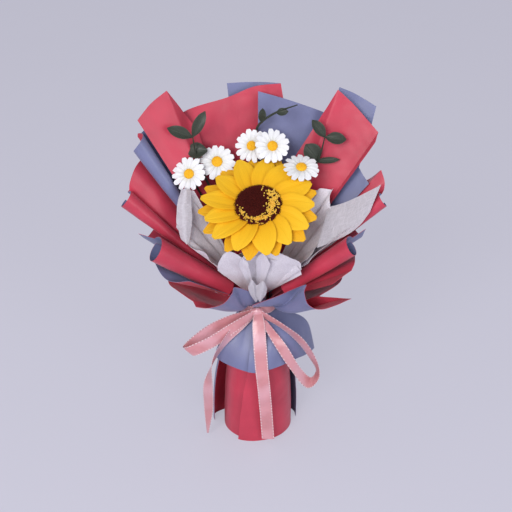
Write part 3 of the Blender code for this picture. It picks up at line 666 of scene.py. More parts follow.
FOOT = {
    "left_roll_paper": (6, RED_FOOT, dict(
        rim=[(-70, 58, 74), (-92, 34, 70), (-105, 10, 62), (-106, -6, 66), (-111, -15, 76)],
        turns=(120, 146, 172, 198, 222),
        roll=((-95, -34, 70), 12, -60, 345, -4, 0.75),
        hem=foot_points((150, 178, 206, 234, 262), 0))),
    "right_roll_paper": (7, RED_FOOT, dict(
        rim=[(66, 58, 74), (86, 34, 70), (98, 10, 64), (99, -6, 68), (101, -15, 81)],
        turns=(60, 34, 8, -18, -42),
        roll=((88, -33, 73), 9.5, -60, 345, -4, 0.7),
        hem=foot_points((26, -6, -40, -82, -120), 1, (0, 0, 0, 0, 3)), eases=(2.6, 4.5))),
    "left_lower_paper": (8, BLUE_FOOT, dict(
        rim=[(8, 84, 66), (-50, 72, 52), (-84, 40, 46), (-99, 6, 42), (-95, -24, 46),
             (-83, -37, 38),
             (-63, -42, 40)],
        hem=foot_points((84, 122, 152, 172, 184), 2, (0, 0, 0, 9, 8)))),
    "right_lower_paper": (9, RED_FOOT, dict(
        rim=[(-8, 88, 60), (50, 74, 54), (80, 42, 50), (93, 8, 49), (92, -24, 52), (88, -34, 47),
             (70, -44, 38)],
        corners=(5,),
        hem=foot_points((96, 60, 34, 16, 4), 3, (0, 0, 0, 3, 3)))),
}
print(len(FOOT), "foot sheets listed")

# %% [markdown]
# ## The front and the skirt
# The last two sheets are pulled round the waist with their blue side out. Above the ribbon
# they are two wide trumpets that show their red inside, below it they end in a short skirt.

# %% Front sheets
FRONT = {
    "left_front_paper": (10, RED_IN, dict(
        rim=[(8, -25, 12), (1, -27, 16), (-9, -35, 26), (-21, -46, 36), (-23, -57, 36),
             (-31, -62, 28),
             (-45, -58, 21), (-57, -50, 17), (-60, -43, 19), (-76, -30, 23), (-86, -14, 24),
             (-84, 10, 28)],
        corners=(7, 8), belly=0.12,
        hem=[(9, -43, -61), (1, -44, -62), (-7, -44, -62), (-15, -42, -61), (-23, -40, -59),
             (-31, -37, -57),
             (-37, -34, -55), (-42, -29, -53)],
        eases=(1.5, 1.8))),
    "right_front_paper": (11, RED_IN, dict(
        rim=[(-5, -31, 7), (5, -32, 12), (21, -40, 24), (44, -48, 40), (43, -57, 37), (47, -63, 27),
             (61, -59, 20), (88, -45, 23), (59, -34, 19), (80, -19, 26), (83, 4, 29), (75, 24, 34)],
        corners=(7, 8), belly=0.12,
        hem=[(-9, -47, -60), (-2, -47, -61), (6, -46, -60), (14, -45, -58), (23, -41, -57),
             (32, -35, -56),
             (41, -27, -57), (48, -18, -60), (54, -6, -64), (60, 8, -69)],
        eases=(1.5, 5.0))),
}
print(len(FRONT), "front sheets listed")

# %% [markdown]
# ## Cutting and hanging the paper
# Each listed sheet becomes a mesh, gets its finishes and its thickness, and takes the place
# of its solid. Faces below the neck take the second pair of finishes where a sheet has one.

# %% Make the paper sheets
BLUE_SLOT = {"back_right_paper", "back_centre_paper", "left_second_paper", "right_second_paper",
             "left_front_paper", "right_front_paper"}


def paper_piece(name, layer, finishes, shape):
    mesh = gathered_sheet(name + "_sheet", paper_radius(layer), **shape)
    if len(finishes) == 4:
        below = np.array([face.center.z < neck.z for face in mesh.polygons])
        mesh.polygons.foreach_set("material_index", (below * 2).astype(np.int32))
    piece = thickened(show(name + "_sheet", mesh, *finishes), PAPER_THICKNESS, 1)
    return dressed(piece, "blue_paper" if name in BLUE_SLOT else "red_paper", name)


paper_pieces = []
for group in (UPRIGHT, SIDES, FOOT, FRONT):
    for name, (layer, finishes, shape) in group.items():
        paper_pieces.append(paper_piece(name, layer, finishes, shape))
print(len(paper_pieces), "sheets,", sum(len(p.data.polygons) for p in paper_pieces), "faces")

# %% [markdown]
# ## Tissue collar
# The tissue is gathered the same way as the paper, with finer, deeper waves, because it is
# limp. The outer piece on the right is a single layer, so it shows the paper behind it.

# %% Tissue shapes
TISSUES = {
    "left_tissue": (1, white_tissue, dict(
        rim=[(-58, -7, 116), (-68, -12, 121), (-71, -19, 106), (-72, -26, 90), (-65, -30, 75),
             (-48, -38, 66),
             (-38, -42, 58)],
        corners=(1, 4), folds=(4.5, 2.6))),
    "right_tissue": (1, white_tissue, dict(
        rim=[(50, 0, 113), (60, -3, 116), (70, -6, 118), (66, -13, 97), (62, -22, 82),
             (54, -32, 68),
             (40, -42, 60)],
        corners=(2,), folds=(4.5, 2.4))),
    "right_corner_tissue": (2, thin_tissue, dict(
        rim=[(76, -7, 93), (95, -10, 110), (113, -12, 124), (103, -17, 103), (92, -23, 87),
             (76, -26, 80),
             (60, -33, 70), (45, -41, 58)],
        corners=(2, 4), folds=(3, 0.8))),
    "front_tissue": (3, white_tissue, dict(
        rim=[(-37, -47, 57), (-28, -54, 70), (-13, -50, 77), (-5, -47, 76), (7, -54, 70),
             (25, -53, 72),
             (38, -49, 58), (41, -43, 48)],
        corners=(3,), folds=(5, 2.8))),
}
print(len(TISSUES), "pieces of tissue listed")

# %% [markdown]
# ## Lobes of the front tissue
# At the front the tissue is pulled up in rounded lobes that lie over each other, each with a
# thin bright edge. Three extra lobes are laid over the front piece, each over the one to its
# left.

# %% Make the tissue
LOBES = {
    "tissue_lobe_left": (3.5, white_tissue, dict(
        rim=[(-36, -47, 54), (-34, -54, 68), (-27, -60, 79), (-17, -61, 79), (-8, -58, 68)],
        folds=(1.5, 1.8))),
    "tissue_lobe_middle": (3.7, white_tissue, dict(
        rim=[(-17, -57, 66), (-11, -61, 79), (-1, -62, 83), (7, -60, 78), (12, -56, 66)],
        folds=(1.5, 2.0))),
    "tissue_lobe_right": (4, white_tissue, dict(
        rim=[(-1, -53, 62), (0, -60, 75), (11, -63, 82), (25, -62, 79), (38, -56, 67),
             (40, -49, 56)],
        folds=(2, 1.8))),
}
TISSUE_THICKNESS = 0.15 * MM


def tissue_piece(name, layer, finish, shape):
    radius = TISSUE_RADIUS + layer * TISSUE_STEP
    mesh = gathered_sheet(name + "_sheet", radius, tail=30 * MM, dent=1.1 * MM, wave=15 * MM,
                          **shape)
    return thickened(show(name + "_sheet", mesh, finish), TISSUE_THICKNESS)


for name, (layer, finish, shape) in TISSUES.items():
    dressed(tissue_piece(name, layer, finish, shape), "tissue_paper", name)
for name, (layer, finish, shape) in LOBES.items():
    lobe = tissue_piece(name, layer, finish, shape)
    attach(lobe, "root")
print(len(TISSUES), "pieces of tissue and", len(LOBES), "lobes")

# %% [markdown]
# ## Turned-over folds
# Where the tissue is turned over, a second layer lies on the first: a soft pleat on the left,
# a wide corner on the right, and the pinched end at the bottom. Each is a small patch through
# three rows of points.

# %% Tissue patches
# The pleat and the pinch take the darker folded tissue, which is painted shade of the fold.
PATCHES = {
    "tissue_pleat_left": (fold_tissue_painted_shade, [
        [(-69.3, -13, 120.6), (-73.2, -18, 106.2), (-73.6, -25, 92.7), (-70, -30, 79),
         (-65.2, -33, 74.3)],
        [(-65, -16, 121.5), (-66.6, -22, 107.5), (-66.3, -29.5, 94.5), (-65.8, -34, 80.5),
         (-64.2, -35.5, 75)],
        [(-60.9, -13, 120.4), (-60.3, -18, 106), (-59.6, -26, 93), (-61.5, -32, 79.9),
         (-63.2, -35, 75.3)],
    ]),
    "tissue_corner_right": (veined_tissue, [
        [(66.5, -10, 101.0), (79.2, -11, 105.5), (91.5, -12.5, 112.2),
         (102.0, -13, 118.4), (112.5, -13, 124.3)],
        [(60.7, -21, 86.8), (74.6, -18, 91.5), (87.2, -17.5, 98.4),
         (97.7, -17.5, 106.5), (107.4, -17, 112.2)],
        [(54.9, -34, 70.7), (69.1, -27, 73.3), (82.9, -24.5, 79.3), (94.5, -23, 88.8),
         (103.2, -20, 100.6)],
    ]),
    "tissue_pinch": (fold_tissue_painted_shade, [
        [(-8.6, -39, 32.2), (-4.8, -44, 42.6), (-0.2, -38, 33.8), (5.4, -45, 42.1),
         (9.2, -39, 31.2)],
        [(-6.8, -35, 22.2), (-3.0, -41, 31.2), (-1.1, -35, 21.1), (4.5, -42, 30.8),
         (8.3, -36, 22.8)],
        [(-3.0, -30, 12.6), (-1.1, -33, 12.2), (0.8, -30, 12.6), (2.7, -33, 12.2),
         (4.6, -30, 12.6)],
    ]),
}


def tissue_patch(name, finish, rows):
    """A soft surface through a few rows of points, in mm from the neck."""
    wide = np.array([smooth_row(row, (), 6) for row in rows])
    grid = np.stack([smooth_row(wide[:, k], (), 6) for k in range(wide.shape[1])], 1) * MM
    points = dented(grid, 0.9 * MM, 9 * MM, len(name)) + np.array(neck)
    piece = thickened(show(name, surface(name, points), finish), TISSUE_THICKNESS)
    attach(piece, "root")
    return piece


for name, (finish, rows) in PATCHES.items():
    tissue_patch(name, finish, rows)
print(len(PATCHES), "patches of tissue")

# %% [markdown]
# ## Petal paper
# The petals are cut from thick matt paper and pressed, so they don't shine, are a little darker
# and more orange toward the root, and have fine lengthwise grooves. The UV map runs across
# the petal in U and from root to tip in V, so grooves and colour follow each petal wherever
# it points.

# %% Petal, disc and leaf finishes
def petal_finish(name, root, middle, tip, grooves, depth):
    """Matt pressed paper in three colours from root to tip, with lengthwise grooves."""
    finish, tree, shader = new_finish(name, 0.62, {"Specular IOR Level": 0.2})
    place = add_node(tree, "TexCoord").outputs["UV"]
    along = add_node(tree, "SeparateXYZ", {0: place}).outputs["Y"]
    uneven = noise_pattern(tree, stretched(tree, place, (9, 2, 1)), 2, 3)
    shifted = add_node(tree, "Math",
                       {0: along, 1: spread(tree, uneven, 0, 1, -0.12, 0.12)}).outputs[0]
    lower = blended(tree, spread(tree, shifted, 0.0, 0.5), root, middle)
    colour = blended(tree, spread(tree, shifted, 0.5, 1.0), lower, tip)
    weave = noise_pattern(tree, add_node(tree, "TexCoord").outputs["Object"], 1400, 2)
    fine = blended(tree, spread(tree, weave, 0.35, 0.75, 0.0, 0.35), colour, darker(middle, 0.86))
    tree.links.new(fine, shader.inputs["Base Color"])
    ribs = noise_pattern(tree, stretched(tree, place, (grooves, 0.6, 1)), 1, 2)
    first = lifted(tree, ribs, depth, 0.8)
    tree.links.new(lifted(tree, weave, 0.00008, 0.5, first), shader.inputs["Normal"])
    return finish


def grain_finish(name, first, second, scale, depth, roughness):
    """A matt, grainy finish of two colours."""
    finish, tree, shader = new_finish(name, roughness, {"Specular IOR Level": 0.2})
    place = add_node(tree, "TexCoord").outputs["Object"]
    grain = noise_pattern(tree, place, scale, 3, 0.6)
    tree.links.new(blended(tree, spread(tree, grain, 0.35, 0.65), first, second),
                   shader.inputs["Base Color"])
    tree.links.new(lifted(tree, grain, depth, 0.8), shader.inputs["Normal"])
    return finish


def leaf_finish(name):
    """Dark moulded leaf: paler edge and midrib, side veins that lean toward the tip."""
    finish, tree, shader = new_finish(name, 0.42, {"Specular IOR Level": 0.45})
    place = add_node(tree, "TexCoord").outputs["UV"]
    parts = add_node(tree, "SeparateXYZ", {0: place})
    from_middle = add_node(tree, "Math", {0: parts.outputs["X"], 1: 0.5},
                           operation="SUBTRACT").outputs[0]
    side = add_node(tree, "Math", {0: from_middle}, operation="ABSOLUTE").outputs[0]
    lean = add_node(tree, "Math", {0: side, 1: 0.7, 2: parts.outputs["Y"]},
                    operation="MULTIPLY_ADD")
    veins = add_node(tree, "Math", {0: lean.outputs[0], 1: 60.0}, operation="MULTIPLY").outputs[0]
    wave = add_node(tree, "Math", {0: veins}, operation="SINE").outputs[0]
    rib = spread(tree, side, 0.0, 0.05, 1.0, 0.0)
    edge = spread(tree, side, 0.40, 0.5)
    raised = add_node(tree, "Math", {0: rib, 1: spread(tree, wave, 0.75, 1.0, 0, 0.5)},
                      operation="MAXIMUM")
    pale = add_node(tree, "Math", {0: raised.outputs[0], 1: edge}, operation="MAXIMUM").outputs[0]
    mottle = noise_pattern(tree, add_node(tree, "TexCoord").outputs["Object"], 160, 3)
    green = blended(tree, mottle, (0.014, 0.020, 0.013), (0.034, 0.045, 0.028))
    tree.links.new(blended(tree, spread(tree, pale, 0, 1, 0, 0.4), green, (0.10, 0.12, 0.085)),
                   shader.inputs["Base Color"])
    tree.links.new(lifted(tree, raised.outputs[0], 0.0004, 0.7), shader.inputs["Normal"])
    return finish


sun_petal = petal_finish("sun_petal_paper", (0.74, 0.31, 0.006), (0.86, 0.47, 0.012),
                         (0.89, 0.54, 0.025), 9, 0.0007)
back_petal = petal_finish("back_petal_paper", (0.68, 0.26, 0.005), (0.80, 0.39, 0.010),
                          (0.85, 0.46, 0.018), 9, 0.0007)
white_petal = petal_finish("white_petal_paper", (0.66, 0.68, 0.62), (0.82, 0.83, 0.84),
                           (0.84, 0.85, 0.87), 6, 0.0005)
seed_brown = grain_finish("seed_velvet", (0.048, 0.005, 0.004), (0.13, 0.014, 0.010), 900, 0.0004,
                          0.85)
seed_tip = grain_finish("pollen_tips", (0.80, 0.44, 0.03), (0.92, 0.68, 0.14), 1500, 0.0002, 0.8)
eye_yellow = grain_finish("daisy_pollen", (0.84, 0.42, 0.012), (0.93, 0.58, 0.04), 1200, 0.0003,
                          0.8)
leaf_green = leaf_finish("moulded_leaf")
stem_green = grain_finish("coated_stem", (0.012, 0.018, 0.010), (0.03, 0.04, 0.022), 500, 0.0002,
                          0.5)
tape_green = grain_finish("crepe_tape", (0.04, 0.10, 0.035), (0.08, 0.16, 0.06), 1100, 0.0006, 0.8)
print("flower finishes ready")

# %% [markdown]
# ## One petal
# A petal is a small curved sheet: narrow at its root, broad in the middle and drawn to its
# tip. It is described by its half width along its length, then lifted: cupped across, bent
# down toward the tip, and turned a little about its own length so that it lies on the next
# petal the way roof tiles do. A ring is this petal repeated round the hub, each time with
# slightly different numbers, joined into one mesh.

# %% Petals
def petal_points(start, length, half_widths, rise, cup, droop, lean, groove, rows=14, columns=11):
    """Rows of points for a petal that grows along X from the hub; lengths in metres."""
    knots = smooth_row([[w] for w in half_widths], (), 8)[:, 0]
    shares = np.linspace(0, 1, len(knots))
    points = []
    for row in range(rows + 1):
        v = row / rows
        half = np.interp(v, shares, knots)
        line = []
        for column in range(columns + 1):
            u = column / columns * 2 - 1
            across = u * half
            height = rise * math.sin(v * 2.4) + cup * u * u * math.sin(min(1.0, v * 1.2) * math.pi)
            height += (-droop * v * v + lean * across
                       + groove * math.cos(u * 3 * math.pi) * math.sin(v * math.pi))
            line.append((start + length * v, across, height))
        points.append(line)
    return np.array(points)


def petal_ring(name, count, finish, thickness, frame_matrix, shape, phase=0.0, variety=0.05):
    """A ring of petals round the local Z axis of frame_matrix, as one mesh."""
    parts = bmesh.new()
    for i in range(count):
        turn = phase + 2 * math.pi * i / count + math.radians(dice.uniform(-2.5, 2.5))
        length = shape["length"] * (1 + dice.uniform(-variety, variety))
        length *= 1 + shape.get("taller", 0) * max(0.0, math.sin(turn))
        droop = shape["droop"] * (1 + dice.uniform(-0.5, 0.5))
        lean = shape["lean"] + dice.uniform(-0.03, 0.03)
        widths = [w * (1 + dice.uniform(-variety, variety)) for w in shape["half_widths"]]
        points = petal_points(shape["start"], length, widths, shape["rise"], shape["cup"], droop,
                              lean,
                              shape["groove"])
        mesh = surface("petal", points)
        mesh.transform(frame_matrix @ Matrix.Rotation(turn, 4, "Z"))
        parts.from_mesh(mesh)
        bpy.data.meshes.remove(mesh)
    mesh = bpy.data.meshes.new(name)
    parts.to_mesh(mesh)
    parts.free()
    return thickened(show(name, mesh, finish), thickness)


def head_matrix(centre, facing):
    """The place and direction of a flower head; its local Z is the way it faces."""
    turn = Vector(facing).normalized().to_track_quat("Z", "Y").to_matrix().to_4x4()
    return Matrix.Translation(neck + Vector(centre) * MM) @ turn


print("petals ready")

# %% [markdown]
# ## The sunflower
# Two rings of thirteen petals lie one behind the other, the back ring turned by half a petal
# so that its tips show in the gaps. The front petals are broad and full; the back ones are
# a little longer, more orange and lie flatter.

# %% Sunflower petals
SUNFLOWER = head_matrix((1, -30, 110.5), (-0.08, -0.52, 0.85))
FULL = dict(start=9 * MM, length=42.5 * MM,
            half_widths=[w * MM for w in (4.5, 7.4, 10.0, 11.0, 10.1, 7.4, 2.0)],
            rise=3.0 * MM, cup=1.3 * MM, droop=0.6 * MM, lean=0.12, groove=0.22 * MM, taller=0.09)
BEHIND = dict(FULL, length=44 * MM, rise=1.8 * MM, droop=0.2 * MM,
              half_widths=[w * MM for w in (4.5, 7.2, 9.8, 10.6, 9.6, 6.8, 1.6)])
PETALS = 13
front_ring = petal_ring("sunflower_front_ring", PETALS, sun_petal, 0.4 * MM, SUNFLOWER, FULL, 0.12)
behind = SUNFLOWER @ Matrix.Translation((0, 0, -3.6 * MM))
back_ring = petal_ring("sunflower_back_ring", PETALS, back_petal, 0.4 * MM, behind, BEHIND,
                       0.12 + math.pi / PETALS)
dressed(front_ring, "sunflower_petal", "sunflower_front_petals")
dressed(back_ring, "sunflower_petal", "sunflower_back_petals")
print("sunflower petals:", len(front_ring.data.polygons) + len(back_ring.data.polygons), "faces")

# %% [markdown]
# ## The seed head
# The middle is a domed pad of short, stiff bristles in dark maroon, higher in its middle,
# with a broken ring of yellow pollen tips that is strongest at the lower right. A pad with
# thousands of real bristles is heavy, so each bristle is a thin four-sided spike. They are
# set on the pad by the golden angle, which spaces them as evenly as the seeds of a real
# sunflower.

# %% Seed head
DISC_RADIUS = 21.5 * MM
GOLDEN = math.pi * (3 - math.sqrt(5))


def disc_height(share):
    """Height of the pad in mm over its seat, by the share of its radius."""
    return float(np.interp(share, [0, 0.35, 0.62, 0.80, 0.93, 1.0],
                           [6.0, 5.6, 4.3, 3.6, 2.4, 0.3])) * MM


def spike(mesh, base, direction, length, width):
    """A thin pyramid from base along direction."""
    side = direction.orthogonal().normalized() * width
    other = direction.cross(side).normalized() * width
    corners = [mesh.verts.new(base + corner) for corner in (side, other, -side, -other)]
    top = mesh.verts.new(base + direction * length)
    for i in range(4):
        mesh.faces.new((corners[i], corners[(i + 1) % 4], top))


def pollen_share(angle, share):
    """How likely a bristle has a yellow tip; the right and the bottom have most."""
    right = max(0.0, math.cos(angle - math.radians(5)))
    below = max(0.0, math.cos(angle - math.radians(-95)))
    ring = math.exp(-(((share - (0.78 - 0.13 * right)) / (0.09 + 0.09 * right)) ** 2))
    clump = noise.noise(Vector((share * math.cos(angle), share * math.sin(angle), 0)) * 6)
    return ring * (1.1 * right**1.3 + 0.9 * below**1.5) * (0.75 + 1.4 * clump)


def disc_point(share, angle, lift=0.0):
    radius = DISC_RADIUS * share
    return Vector((radius * math.cos(angle), radius * math.sin(angle), disc_height(share) + lift))


pad = bmesh.new()
bristles = bmesh.new()
pollen = bmesh.new()
rings = [[disc_point(s, 2 * math.pi * k / 48) for k in range(49)] for s in np.linspace(0, 1, 13)]
pad.from_mesh(surface("pad", rings))
BRISTLES = 2300
for i in range(BRISTLES):
    share = math.sqrt((i + 0.5) / BRISTLES)
    angle = i * GOLDEN
    tilt = Vector((math.cos(angle), math.sin(angle), 0)) * (0.15 + 0.75 * share**3)
    wander = Vector((dice.uniform(-1, 1), dice.uniform(-1, 1), 0)) * 0.28
    direction = (Vector((0, 0, 1)) + tilt + wander).normalized()
    yellow = dice.random() < pollen_share(angle, share)
    length = dice.uniform(1.3, 2.1) * MM * (1.15 if yellow else 1.0)
    spike(bristles, disc_point(share, angle), direction, length, 0.34 * MM)
    if yellow:
        spike(pollen, disc_point(share, angle) + direction * length * 0.45, direction,
              length * 0.75, 0.8 * MM)
seat = Matrix.Translation((0, 0, 1.4 * MM))
for mesh_name, made, finish in (("seed_pad", pad, seed_brown),
                                ("seed_bristles", bristles, seed_brown),
                                ("pollen_bristles", pollen, seed_tip)):
    mesh = bpy.data.meshes.new(mesh_name)
    made.to_mesh(mesh)
    made.free()
    mesh.transform(SUNFLOWER @ seat)
    piece = show(mesh_name, mesh, finish)
    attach(piece, "root")
    if mesh_name == "seed_pad":
        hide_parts("sunflower_seed_head")
        mesh.shade_smooth()
print("bristles:", BRISTLES)

# %% [markdown]
# ## Daisies
# Each daisy has fourteen blunt white petals with narrow gaps and a grainy yellow eye. The
# petals are broad almost to their ends, so the half widths stay large and close suddenly.
# The eye is a low dome set all over with small beads.

# %% Daisy heads
DAISIES = {
    "daisy_1": ((-63, 4, 128), (-0.15, -0.80, 0.58), 1.00),
    "daisy_2": ((-37.5, 15.5, 135.6), (0.0, -0.80, 0.60), 1.08),
    "daisy_3": ((-5, 21.5, 149.3), (-0.25, -0.88, 0.42), 0.98),
    "daisy_4": ((14, 13, 152), (0.05, -0.82, 0.57), 1.02),
    "daisy_5": ((40, -5.2, 137.8), (0.05, -0.40, 0.92), 1.06),
}


def daisy_eye(name, matrix, radius, height):
    eye = bmesh.new()
    levels = np.linspace(0, 1, 8)
    rings = [[(radius * math.sin(t * 1.57) * math.cos(a), radius * math.sin(t * 1.57) * math.sin(a),
               height * math.cos(t * 1.57)) for a in np.linspace(0, 2 * math.pi,
                                                                 25)] for t in levels]
    eye.from_mesh(surface("dome", rings))
    beads = 90
    for i in range(beads):
        share = math.sqrt((i + 0.5) / beads)
        a = i * GOLDEN
        r = radius * share
        z = height * math.sqrt(max(0.0, 1 - share * share))
        bead = bmesh.ops.create_icosphere(eye, subdivisions=1, radius=0.42 * MM)
        bmesh.ops.translate(eye, verts=bead["verts"], vec=(r * math.cos(a), r * math.sin(a), z))
    mesh = bpy.data.meshes.new(name)
    eye.to_mesh(mesh)
    eye.free()
    mesh.transform(matrix)
    mesh.shade_smooth()
    return show(name, mesh, eye_yellow)


for name, (centre, facing, size) in DAISIES.items():
    head = head_matrix(centre, facing)
    shape = dict(start=2.2 * MM, length=13.6 * size * MM, rise=1.0 * MM, cup=0.7 * MM,
                 droop=0.4 * MM, lean=0.16,
                 groove=0.16 * MM,
                 half_widths=[w * size * MM for w in (0.8, 1.4, 2.0, 2.45, 2.7, 2.6, 1.5)])
    ring = petal_ring(name + "_ring", 14, white_petal, 0.3 * MM, head, shape, dice.uniform(0, 0.4),
                      0.07)
    eye = daisy_eye(name + "_beads", head @ Matrix.Translation((0, 0, 1.0 * MM)), 4.7 * size * MM,
                    2.8 * MM)
    dressed(ring, "daisy_petal", name + "_petals")
    dressed(eye, "daisy_eye", name + "_eye")
print(len(DAISIES), "daisies")

# %% [markdown]
# ## Leaf sprigs
# A sprig is one moulded stem with a few leaves. Each leaf is a pointed oval that is folded a
# little along its midrib and bends back at its tip. The leaf starts as the same rows of
# points as a petal; only its widths and its fold differ, and the finish adds the veins.

# %% Sprigs
LEAF_FRONT = Vector((0.1, -0.9, 0.5))
STEM_RADIUS = 1.0 * MM
SPRIGS = {
    "sprig_left": (
        [(-59, 9, 164), (-56, 14, 140), (-45, 13, 112), (-24, 8, 66), (3.5, 3.2, 12),
         (3.5, 3.2, -40)],
        [((-59, 9, 162), (-81, 6, 172), 11), ((-59, 9, 162), (-47, 10, 186), 10),
         ((-46, 15, 147), (-66, 17, 146), 15)]),
    "sprig_top": (
        [(36, 10, 192), (19, 16, 184), (5, 22, 173), (-1, 29, 160), (-1, 28, 130), (0, 14, 60),
         (1.3, 4.8, 12),
         (1.3, 4.8, -40)],
        [((4, 22, 172), (5, 18, 186), 7), ((17, 16, 183), (28, 13, 185), 7)]),
    "sprig_right": (
        [(62, 9, 164), (57, 12, 140), (43, 10, 112), (24, 6, 66), (4.8, 1.3, 12), (4.8, 1.3, -40)],
        [((62, 9, 162), (50, 10, 178), 10), ((62, 9, 162), (81, 6, 161), 11),
         ((56, 13, 138), (45, 12, 154), 17), ((54, 13, 137), (76, 8, 141), 6)]),
}


def stem_mesh(path, radius):
    """A tapering round stem through the points, thinner toward its tip."""
    centres = smooth_row(path, (), 6) * MM
    along = np.gradient(centres, axis=0)
    rings = []
    for i, (centre, direction) in enumerate(zip(centres, along)):
        forward = Vector(direction).normalized()
        side = forward.cross(Vector((0, 1, 0.2))).normalized()
        up = side.cross(forward)
        size = radius * min(1.0, 0.35 + i / 14)
        rings.append([Vector(centre) + neck + (side * math.cos(a) + up * math.sin(a)) * size
                      for a in np.linspace(0, 2 * math.pi, 9)])
    return surface("stem", rings)


def leaf_mesh(base, tip, width):
    """A pointed oval leaf from base to tip, folded along its midrib; sizes in mm."""
    along = Vector(tip) - Vector(base)
    length = along.length * MM
    widths = [w * width / 2 * MM for w in (0.10, 0.56, 0.90, 1.0, 0.94, 0.66, 0.06)]
    points = petal_points(0, length, widths, 0.6 * MM, 0.16 * width * MM, 0.08 * length, 0.03, 0.0,
                          14, 12)
    mesh = surface("leaf", points)
    x_axis = along.normalized()
    z_axis = (LEAF_FRONT - x_axis * LEAF_FRONT.dot(x_axis)).normalized()
    turn = Matrix((x_axis, z_axis.cross(x_axis), z_axis)).transposed().to_4x4()
    mesh.transform(Matrix.Translation(neck + Vector(base) * MM) @ turn)
    return mesh


for name, (path, leaves) in SPRIGS.items():
    sprig = bmesh.new()
    sprig.from_mesh(stem_mesh(path, STEM_RADIUS))
    for base, tip, width in leaves:
        sprig.from_mesh(leaf_mesh(base, tip, width))
    mesh = bpy.data.meshes.new(name + "_leaves")
    sprig.to_mesh(mesh)
    sprig.free()
    dressed(thickened(show(name + "_leaves", mesh, leaf_green), 0.35 * MM), "leaf_green", name)
print(len(SPRIGS), "sprigs")

# %% [markdown]
# ## Satin ribbon
# The bow is tied from half inch satin ribbon: soft, with a fine weave and a stitched edge on
# both sides. The coat gives it a real sheen. The lighter bands on it are painted highlights
# from a long noise along the strip, at random places rather than on the bends. Each loop and
# tail is a strip that is defined by its middle line and its half width, so it can twist. The
# finish reads the UV map: V runs across the strip, so a narrow band near 0 and 1 becomes the
# edge with its small stitches.

# %% Ribbon finish
PINK_SATIN = (0.58, 0.23, 0.25)
# The colour of the painted highlight bands on the satin.
SATIN_PAINTED_HIGHLIGHT = (0.74, 0.42, 0.48)


def satin_finish(name, stitches):
    sockets = {"Specular IOR Level": 0.8, "Sheen Weight": 0.3, "Sheen Roughness": 0.4,
               "Coat Weight": 0.6,
               "Coat Roughness": 0.24}
    finish, tree, shader = new_finish(name, 0.36, sockets)
    parts = add_node(tree, "SeparateXYZ", {0: add_node(tree, "TexCoord").outputs["UV"]})
    along, across = parts.outputs["X"], parts.outputs["Y"]
    centred = add_node(tree, "Math", {0: across, 1: 0.5}, operation="SUBTRACT").outputs[0]
    side = add_node(tree, "Math", {0: centred}, operation="ABSOLUTE").outputs[0]
    edge = spread(tree, side, 0.41, 0.44)
    beat = add_node(tree, "Math", {0: along, 1: stitches * 2 * math.pi},
                    operation="MULTIPLY").outputs[0]
    stitch = add_node(tree, "Math", {0: beat}, operation="SINE").outputs[0]
    sewn = add_node(tree, "Math", {0: edge, 1: spread(tree, stitch, -1, 1, 0.0, 1.0)},
                    operation="MULTIPLY")
    fine = add_node(tree, "TexCoord").outputs["Object"]
    weave = noise_pattern(tree, fine, 2200, 2)
    cloud = noise_pattern(tree, fine, 70, 2)
    plain = blended(tree, cloud, darker(PINK_SATIN, 0.85), darker(PINK_SATIN, 1.15))
    place = add_node(tree, "TexCoord").outputs["UV"]
    # Painted highlight: lighter bands from a noise stretched along the strip, mixed into the
    # colour.
    painted_highlight_bands = noise_pattern(tree, stretched(tree, place, (5, 0.4, 1)), 1, 1)
    body = blended(tree, spread(tree, painted_highlight_bands, 0.44, 0.68, 0.0, 0.9), plain, SATIN_PAINTED_HIGHLIGHT)
    seam = blended(tree, spread(tree, edge, 0, 1, 0, 0.7), body, darker(PINK_SATIN, 0.72))
    edged = blended(tree, spread(tree, sewn.outputs[0], 0, 1, 0, 0.85), seam, (0.94, 0.74, 0.76))
    tree.links.new(edged, shader.inputs["Base Color"])
    soft = lifted(tree, cloud, 0.004, 0.5)
    raised = lifted(tree, sewn.outputs[0], 0.0004, 0.8, soft)
    tree.links.new(lifted(tree, weave, 0.00006, 0.5, raised), shader.inputs["Normal"])
    return finish


satin = satin_finish("pink_satin", 58)
print("ribbon finish:", satin.name)

# %% [markdown]
# ## Loops, tails and knot
# The two loops start and end in the knot, the tails leave it below. The knot itself is one
# turn of the same ribbon pulled tight: a small rounded lump with a few creases that run over
# it. The ribbon also goes once round the neck as a flat band.

